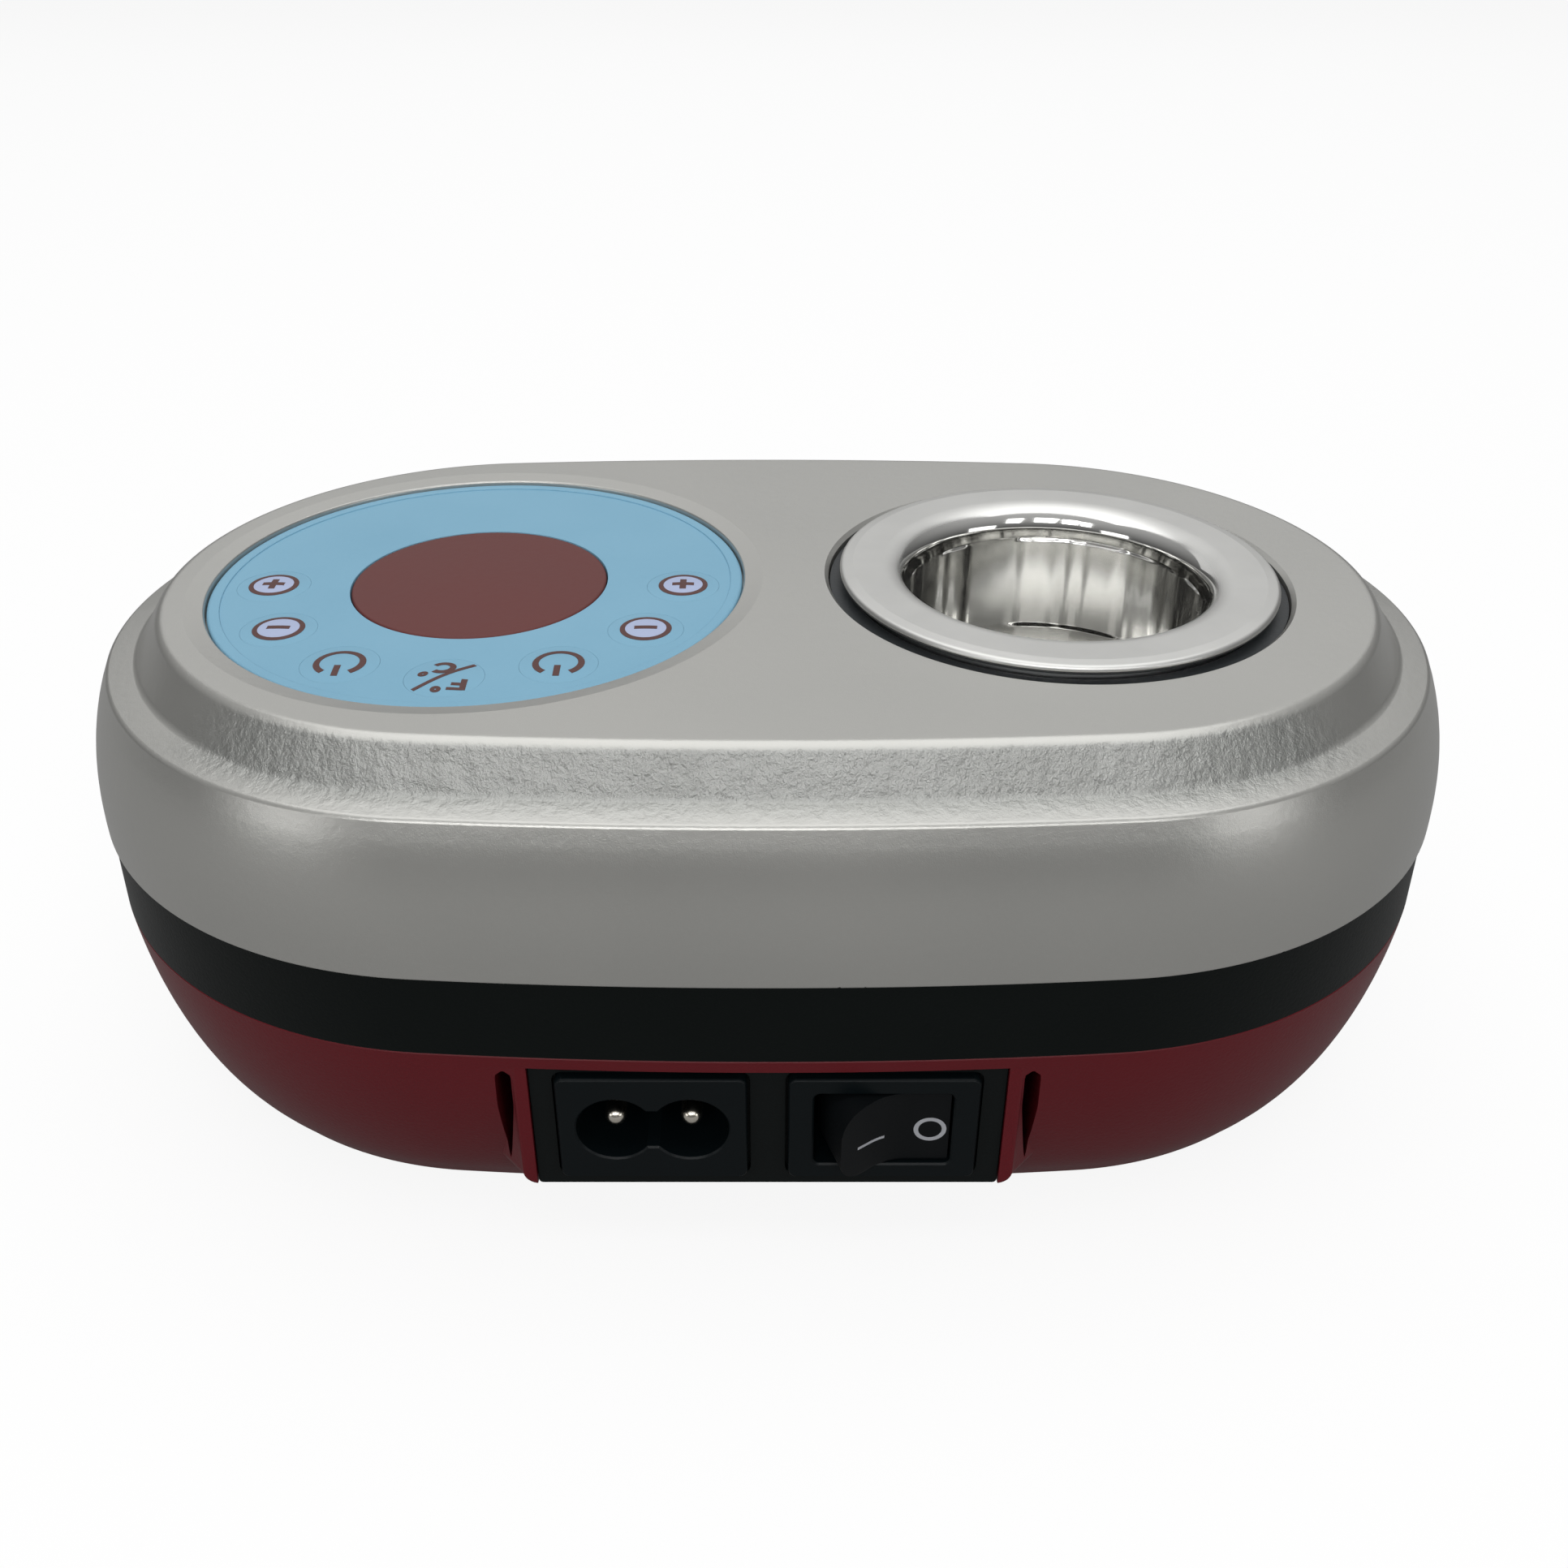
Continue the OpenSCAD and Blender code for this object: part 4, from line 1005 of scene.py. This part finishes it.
STEEL = polished_steel()
outside = [(0, 37.0), *arc(6, -90, 0, (13.4, 43), 8), (19.4, 59.7), (21.8, 62.1)]
flange_edge = arc(0.6, -90, 90, (26.4, 62.55), 10)
mouth = [(25.4, 63.3), *arc(3.4, 90, 174, (21.8, 59.9), 12)]
inside_wall = [(18.4, 59.3), (18.7, 59.0), (18.7, 46.0)]
inside_floor = [*arc(5, 0, -90, (13.4, 43), 10), (0, 38.0)]
pot = (turn, POT, outside + flange_edge + mouth + inside_wall + inside_floor, ROUND)
finish_piece("steel_pot", [pot], STEEL, "pot", ["wax_pot"], angle=28)

# %% [markdown]
# ## Sockets
#
# A black plate closes the pocket, and a two-pole inlet and a rocker switch snap into it. Both have
# a raised bezel whose side shows as a dark line in the photograph. The inlet's recess has the
# outline of a figure of eight, made here from two arcs, and the pins stand in it.

# %% Plate, inlet and pins
PLATE = moulded("socket plate plastic", (0.0032, 0.0046, 0.0046), (0.0054, 0.0070, 0.0070), 0.5,
                grain=3.0, depth=0.02, shine=0.12)
SOCKET = moulded("socket plastic", (0.0016, 0.0034, 0.0042), (0.0030, 0.0054, 0.0064), 0.36,
                 grain=3.0, depth=0.012, shine=0.14)
INLET, SWITCH = (-12.9, 17.7), (12.9, 17.7)
PLATE_Y, RECESS_Y = -50.5, -49.6              # face of the plate, and of the recess in it
BEZEL_Y, LIP_Y, BODY_BACK_Y = -51.5, -51.3, -36


def tube(bm, *levels):
    """A skin through (loop, y) levels, where a loop is upright and y its distance."""
    wall_between(bm, [upright(loop, y) for loop, y in levels])


def cap(bm, loop, y, holes=()):
    panel(bm, lambda x, z: (x, y + LIFT_Y, z), loop, holes)


bm = bmesh.new()
outline = rounded_rectangle((0, 17.35), (52.8, 17.9), 0.4, 3)
face_edge = rounded_rectangle((0, 17.35), (52.68, 17.78), 0.4, 3)
holes = [rounded_rectangle(at, (20.2, 13.2), 0.6, 3) for at in (INLET, SWITCH)]
recesses = [rounded_rectangle(at, (21.9, 15.5), 1.1, 3) for at in (INLET, SWITCH)]
cap(bm, face_edge, PLATE_Y, recesses)
for hole, recess in zip(holes, recesses):
    tube(bm, (recess, PLATE_Y), (recess, RECESS_Y))
    cap(bm, recess, RECESS_Y, [hole])
    tube(bm, (hole, RECESS_Y), (hole, PLATE_BACK_Y))
tube(bm, (face_edge, PLATE_Y), (outline, PLATE_Y + 0.1), (outline, PLATE_BACK_Y))
cap(bm, outline, PLATE_BACK_Y, holes)
finish_piece("socket_plate_face", bm, PLATE, nodes=["socket_plate"])

# %% [markdown]
# Inlet and switch share one bezel. It is a stack of rounded rectangles, with a lip round the
# opening. The pins are turned about a level axis, with a round tip and a flat tab behind.

# %% Inlet and pins
def eight(grow=0.0):
    """The inlet's opening, a figure of eight."""
    radius, waist = 4.4 + grow, 2.65 + grow
    open_at = math.degrees(math.asin(waist / radius))
    return (arc(radius, open_at - 180, 180 - open_at, (INLET[0] + 4.2, INLET[1]), 28)
            + arc(radius, open_at, 360 - open_at, (INLET[0] - 4.2, INLET[1]), 28))


def bezel(bm, at, opening, lip, depth):
    """A socket's body and raised frame, round an opening that is closed at y = depth."""
    levels = ((20, 13, 0.6, BODY_BACK_Y), (20, 13, 0.6, RECESS_Y), (21.25, 14.85, 0.9, RECESS_Y),
              (21.25, 14.85, 0.9, -51.15), (21.1, 14.7, 0.85, -51.38), (20.85, 14.45, 0.8, BEZEL_Y))
    loops = [rounded_rectangle(at, (w, h), radius, 5) for w, h, radius, y in levels]
    tube(bm, *zip(loops, (level[-1] for level in levels)))
    cap(bm, loops[-1], BEZEL_Y, [lip])
    tube(bm, (lip, BEZEL_Y), (opening, LIP_Y), (opening, depth))
    cap(bm, opening, depth)
    cap(bm, loops[0], BODY_BACK_Y)


finish_piece("inlet_socket", [(bezel, INLET, eight(), eight(0.2), -39.5)], SOCKET,
             nodes=["inlet_body"])

PIN_STEEL = Finish("pin metal", (0.70, 0.66, 0.58), 0.2, metallic=1.0)
pin_smears = PIN_STEEL.noise(1.2, 3)
PIN_STEEL.paint(pin_smears, (0.62, 0.57, 0.48), (0.78, 0.75, 0.68), pin_smears * 0.16 + 0.14)
PIN_STEEL.bump(pin_smears, 0.01)
bm = bmesh.new()
quarter = [math.pi / 16 * k for k in range(9)]
pin = [(1.2 * math.sin(t), -49.0 - 1.1 * math.cos(t)) for t in quarter]
pin += [(1.2, -40.0), (1.0, -39.9), (1.0, -35.6)]
for x in (INLET[0] - 4.3, INLET[0] + 4.3):
    tube(bm, *[(circle((x, INLET[1]), r, 32), y) for r, y in pin])
    cap(bm, circle((x, INLET[1]), pin[-1][0], 32), pin[-1][1])
    box(bm, (x - 0.4, -35.7 + LIFT_Y, 15.3), (x + 0.4, -27.8 + LIFT_Y, 20.1))
finish_piece("inlet_pin_pair", bm, PIN_STEEL, nodes=["inlet_pins"])

# %% [markdown]
# ### Switch and rocker
#
# The rocker has a concave face, a shallow V with a round valley, and it stands tipped: one half is
# flush and the other is proud. The printed dash and ring lie on that face, so they are made from
# the same curve and ride with the rocker.

# %% Switch and rocker
opening = rounded_rectangle(SWITCH, (15.5, 10.6), 0.8, 5)
opening_lip = rounded_rectangle(SWITCH, (15.9, 11.0), 0.9, 5)
finish_piece("switch_bezel", [(bezel, SWITCH, opening, opening_lip, -40)], SOCKET,
             nodes=["switch_housing"])

TIP = math.radians(19)                # how far the rocker is tipped at rest
PIVOT = (SWITCH[0], -49.58 + LIFT_Y)
ROCKER_R, VALLEY_R, END_ROUND = 7.6, 7, 3.2


def rocker_face(x):
    """How far the face lies in front of the axle, x millimetres from the valley before tipping."""
    if abs(x) < VALLEY_R * math.sin(TIP):
        return 1.5 + VALLEY_R / math.cos(TIP) - math.sqrt(VALLEY_R ** 2 - x * x)
    return 1.5 + abs(x) * math.tan(TIP)


def tipped(x, forward):
    c, s = math.cos(TIP), math.sin(TIP)
    return (PIVOT[0] + x * c + forward * s, PIVOT[1] + x * s - forward * c)


reach = ROCKER_R         # where the face meets the round back
while math.hypot(reach, rocker_face(reach)) > ROCKER_R:
    reach = round(reach - 0.001, 3)
face_line = [(x, rocker_face(x)) for x in [reach * (-1 + 2 * i / 36) for i in range(37)]]
from_angle = math.degrees(math.atan2(rocker_face(reach), reach))
right = arc(ROCKER_R, from_angle, -math.degrees(math.asin(3.5 / ROCKER_R)), steps=10)[1:]
outline = face_line + right + [(-x, y) for x, y in right[::-1]]


def rocker_row(up, inset):
    """The outline at a height over the middle. Its proud end is round towards top and bottom."""
    end = max(0.0, END_ROUND - (5.0 - abs(up)))
    limit = reach - 0.2 - END_ROUND + math.sqrt(max(0.0, END_ROUND ** 2 - end ** 2))
    row = []
    for x, y in outline:
        if x < -limit:
            x, y = -limit, min(y, rocker_face(-limit))
        scale = 1 - inset / ROCKER_R
        row.append((*tipped(x * scale, y * scale), SWITCH[1] + up))
    return row


half = [(5.0, 0.25), (4.92, 0.08), (4.75, 0), (4.4, 0), (3.9, 0), (3.2, 0), (2.1, 0)]
levels = [(-up, inset) for up, inset in half] + [(0, 0)] + half[::-1]
rocker = [(slab, [rocker_row(*level) for level in levels])]
rocker += [(turn, PIVOT, [(0, low), (1.2, low), (1.2, low + 0.6), (0, low + 0.6)], 24)
           for low in (12.2, 22.6)]
ROCKER = moulded("rocker plastic", (0.0018, 0.0026, 0.0032), (0.0032, 0.0042, 0.0050), 0.46,
                 grain=3.0, depth=0.012, shine=0.14)
finish_piece("switch_rocker", rocker, ROCKER, "power_rocker", ["rocker"], angle=24)


GREY_INK = moulded("pale grey print", (0.36, 0.37, 0.40), (0.44, 0.45, 0.48), 0.5, grain=3.0)
on_face = lambda p, up: (*tipped(p.x, rocker_face(p.x) + up), p.y)
ring = (printed_line, circle((4.55, 17.35), 1.5, 40), 0.48, True, on_face, 0.03)
dash = (printed_line, bar((-4.1, 16.95), (-0.5, 16.75), 14), 0.34, False, on_face, 0.03)
finish_piece("rocker_marks", [ring, dash], GREY_INK, "power_rocker", weighted=False)

# %% [markdown]
# ## Underside
#
# The housing stands on four rubber feet and is held together by four cross-head screws in deep
# holes. Both repeat, so one foot and one screw are modelled and the copies tree places them.

# %% Feet and screws
RUBBER = moulded("black rubber", (0.010, 0.010, 0.010), (0.022, 0.022, 0.021), 0.8, grain=4.0,
                 depth=0.05)
foot = [(0, 0.18), (2.2, 0.18), (2.35, 0.0), (2.9, 0.0), (3.05, 0.18), (3.9, 0.18), (4.05, 0.0),
        (5.0, 0.0), (5.45, 0.25), (5.8, 0.8), (5.8, 2.2), (0, 2.2)]
feet = copies(solid((turn, (0, 0), foot, 56)), FEET_AT, 0, RUBBER)
finish_piece("rubber_feet", feet, RUBBER, nodes=["base_feet"])


def zinc():
    plated = Finish("zinc-plated steel", (0.55, 0.54, 0.50), 0.32, metallic=1.0)
    mottle, fine = plated.cells(0.9), plated.noise(2.5, 3)
    plated.bump(fine, 0.01)
    plated.paint(mottle * 0.6 + fine * 0.4, (0.46, 0.45, 0.41), (0.64, 0.63, 0.60),
                 mottle * 0.15 + fine * 0.12 + 0.2)
    return plated


def cross_screw(head, shank, head_h, length, pitch, cross):
    """A pan head with a cross recess, and a threaded shank above it, made round the origin."""
    top = round_corners([(head, head_h), (head, 0), (0, 0)], {1: head_h * 0.45}, 6)
    body = solid((turn, (0, 0), [(0, head_h), *top], 40))
    root, end = shank * 0.8, head_h + length
    thread, z = [(root, head_h * 0.9)], head_h + 0.4
    while z < end - pitch:
        thread += [(root, z), (shank, z + pitch * 0.4), (root, z + pitch * 0.8)]
        z += pitch
    thread = [(0, head_h * 0.9), *thread, (shank * 0.4, end), (0, end)]
    slots = [solid((box, (-a, -b, -1), (a, b, head_h * 0.55)))
             for a, b in ((cross, cross * 0.2), (cross * 0.2, cross))]
    return boolean(body, [("UNION", solid((turn, (0, 0), thread, 24)))]
                   + [("DIFFERENCE", slot) for slot in slots])


ZINC = zinc()
shell_screw = cross_screw(head=2.8, shank=1.45, head_h=2.0, length=19.9, pitch=0.8, cross=1.7)
screws = copies(shell_screw, SCREWS_AT, 8.0, ZINC)
finish_piece("shell_screw_set", screws, ZINC, nodes=["shell_screws"])

# %% [markdown]
# ## Finishes of the parts inside
#
# The parts under the pot and the keypad keep their CAD meshes, and get procedural finishes: board
# laminate with its weave and tracks, turned aluminium, mica, ceramic wool, brass and so on. They
# are seen when the pot is lifted out or the shells are taken apart.

# %% Board, wool, laminations and wires
def board_finish():
    board = Finish("circuit board", (0.015, 0.10, 0.035), 0.4, coat=0.3)
    x, y, _ = board.point.axes()
    weave = ((x * 5.0).maths("SINE") * (y * 5.0).maths("SINE")).size()
    track = (board.cells(0.22, "DISTANCE_TO_EDGE") - 0.05).size().step(0.02, 0.05)
    board.bump(track * 0.6 + weave * 0.1, 0.03)
    board.paint(track * 0.8 + weave * 0.2, (0.030, 0.17, 0.055), (0.010, 0.075, 0.026),
                weave * 0.1 + 0.34)
    return board


def brushed(name, dark, light, roughness, stretch=(0.3, 0.3, 8.0)):
    metal = Finish(name, light, roughness, metallic=1.0)
    grain = metal.noise(1.0, 4, at=metal.scaled(*stretch))
    stain = metal.noise(0.15, 3)
    metal.bump(grain, 0.008)
    metal.paint(grain * 0.5 + stain * 0.5, dark, light,
                grain * 0.14 + stain * 0.08 + roughness - 0.1)
    return metal


def layered(name, dark, light, gap_mm, axis, metallic=0.0, roughness=0.5):
    """Stacked sheets or a wound wire: lines a set distance apart along one axis."""
    stack = Finish(name, light, roughness, metallic=metallic)
    line = (stack.point.axes()[axis] * (math.pi / gap_mm)).maths("SINE").size()
    dirt = stack.noise(0.4, 3)
    stack.bump(line, 0.08)
    stack.paint(line.step(0.1, 0.6) * 0.75 + dirt * 0.25, dark, light,
                dirt * 0.15 + roughness - 0.08)
    return stack


def fibrous(name, dark, light):
    wool = Finish(name, light, 0.95)
    strands = wool.noise(1.6, 6, 0.7, at=wool.scaled(1, 1, 3.0))
    tufts = wool.cells(0.5)
    wool.bump(strands * 0.7 + tufts * 0.3, 0.3)
    wool.paint(strands * 0.7 + tufts * 0.3, dark, light, strands * 0.1 + 0.86)
    return wool


def bare_label():
    """A silver foil label with a printed frame and empty fields, and nothing written on it."""
    foil = Finish("bare label", (0.62, 0.62, 0.60), 0.38, metallic=0.3)
    x, y, _ = foil.point.axes()
    u, v = x.size(), (y - (-9.0 + LIFT_Y)).size()
    border = u.band(25.2, 25.3, 25.8, 25.9).at_least(v.band(13.2, 13.3, 13.8, 13.9))
    rule = (v - 4.5).size().fall(0.12, 0.2) * u.fall(25.2, 25.3)
    mottle = foil.noise(0.8, 3)
    foil.bump(mottle, 0.01)
    blank = mottle.blend((0.56, 0.56, 0.54, 1), (0.66, 0.66, 0.64, 1))
    foil.set(base_color=border.at_least(rule).blend(blank, (0.05, 0.05, 0.06, 1)),
             roughness=mottle * 0.1 + 0.32)
    return foil


print("finishes for metal, stacks, wool and the label are ready")

# %% [markdown]
# One table says which carried nodes wear which finish. What these nodes are made of differs from
# one to the next, but the plastics, metals and stacks each come from one function.

# %% Dress the carried nodes
INSIDE = [
    (board_finish(), "control_board power_board"),
    (brushed("turned aluminium", (0.62, 0.63, 0.64), (0.80, 0.81, 0.82), 0.3, (0.4, 0.4, 7.0)),
     "heater_well heater_triac"),
    (brushed("tinned sheet", (0.50, 0.51, 0.50), (0.68, 0.69, 0.68), 0.34, (2.5, 0.5, 0.5)),
     "heat_shield"),
    (brushed("brass", (0.52, 0.34, 0.12), (0.74, 0.52, 0.22), 0.28),
     "temperature_sensor switch_terminals"),
    (layered("mica band heater", (0.16, 0.10, 0.03), (0.52, 0.38, 0.17), 2.0, 2, 0.4, 0.4),
     "band_heater"),
    (layered("iron laminations", (0.06, 0.055, 0.05), (0.26, 0.24, 0.20), 0.5, 0, 0.7, 0.45),
     "transformer"),
    (layered("ribbon cable", (0.20, 0.21, 0.23), (0.46, 0.48, 0.50), 1.27, 1), "ribbon_cable"),
    (layered("wire cover", (0.52, 0.42, 0.26), (0.74, 0.64, 0.44), 0.6, 0, 0.0, 0.7),
     "heater_wires"),
    (fibrous("ceramic wool", (0.48, 0.46, 0.40), (0.80, 0.78, 0.72)), "insulation_ring"),
    (bare_label(), "rating_label"),
    (ZINC, "control_board_screws power_board_screws shield_screws"),
    (moulded("brown wire", (0.10, 0.035, 0.012), (0.16, 0.06, 0.022), 0.4), "mains_wires"),
    (moulded("cream plastic", (0.58, 0.55, 0.46), (0.74, 0.71, 0.62), 0.5), "ribbon_headers"),
    (moulded("capacitor sleeve", (0.012, 0.022, 0.055), (0.022, 0.038, 0.085), 0.25, coat=0.4),
     "filter_capacitor"),
    (moulded("relay plastic", (0.018, 0.075, 0.24), (0.035, 0.11, 0.32), 0.35), "power_relay"),
    (moulded("terminal plastic", (0.03, 0.16, 0.06), (0.06, 0.24, 0.09), 0.45), "terminal_block"),
    (moulded("fuse glass and clips", (0.50, 0.49, 0.44), (0.72, 0.71, 0.66), 0.16, coat=0.5),
     "board_fuse thermal_fuse"),
    (moulded("dark plastic", (0.012, 0.012, 0.013), (0.026, 0.026, 0.028), 0.5),
     "control_chip tact_switches display_module"),
    (moulded("collar plastic", (0.014, 0.017, 0.019), (0.024, 0.028, 0.031), 0.5), "well_collar"),
]
for finish, names in INSIDE:
    for node in names.split():
        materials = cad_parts[node].data.materials
        materials.clear()
        materials.append(finish.material)
dressed = sum(len(names.split()) for _, names in INSIDE)
print(dressed, "of", len(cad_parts), "nodes keep their CAD mesh under a finish of their own")
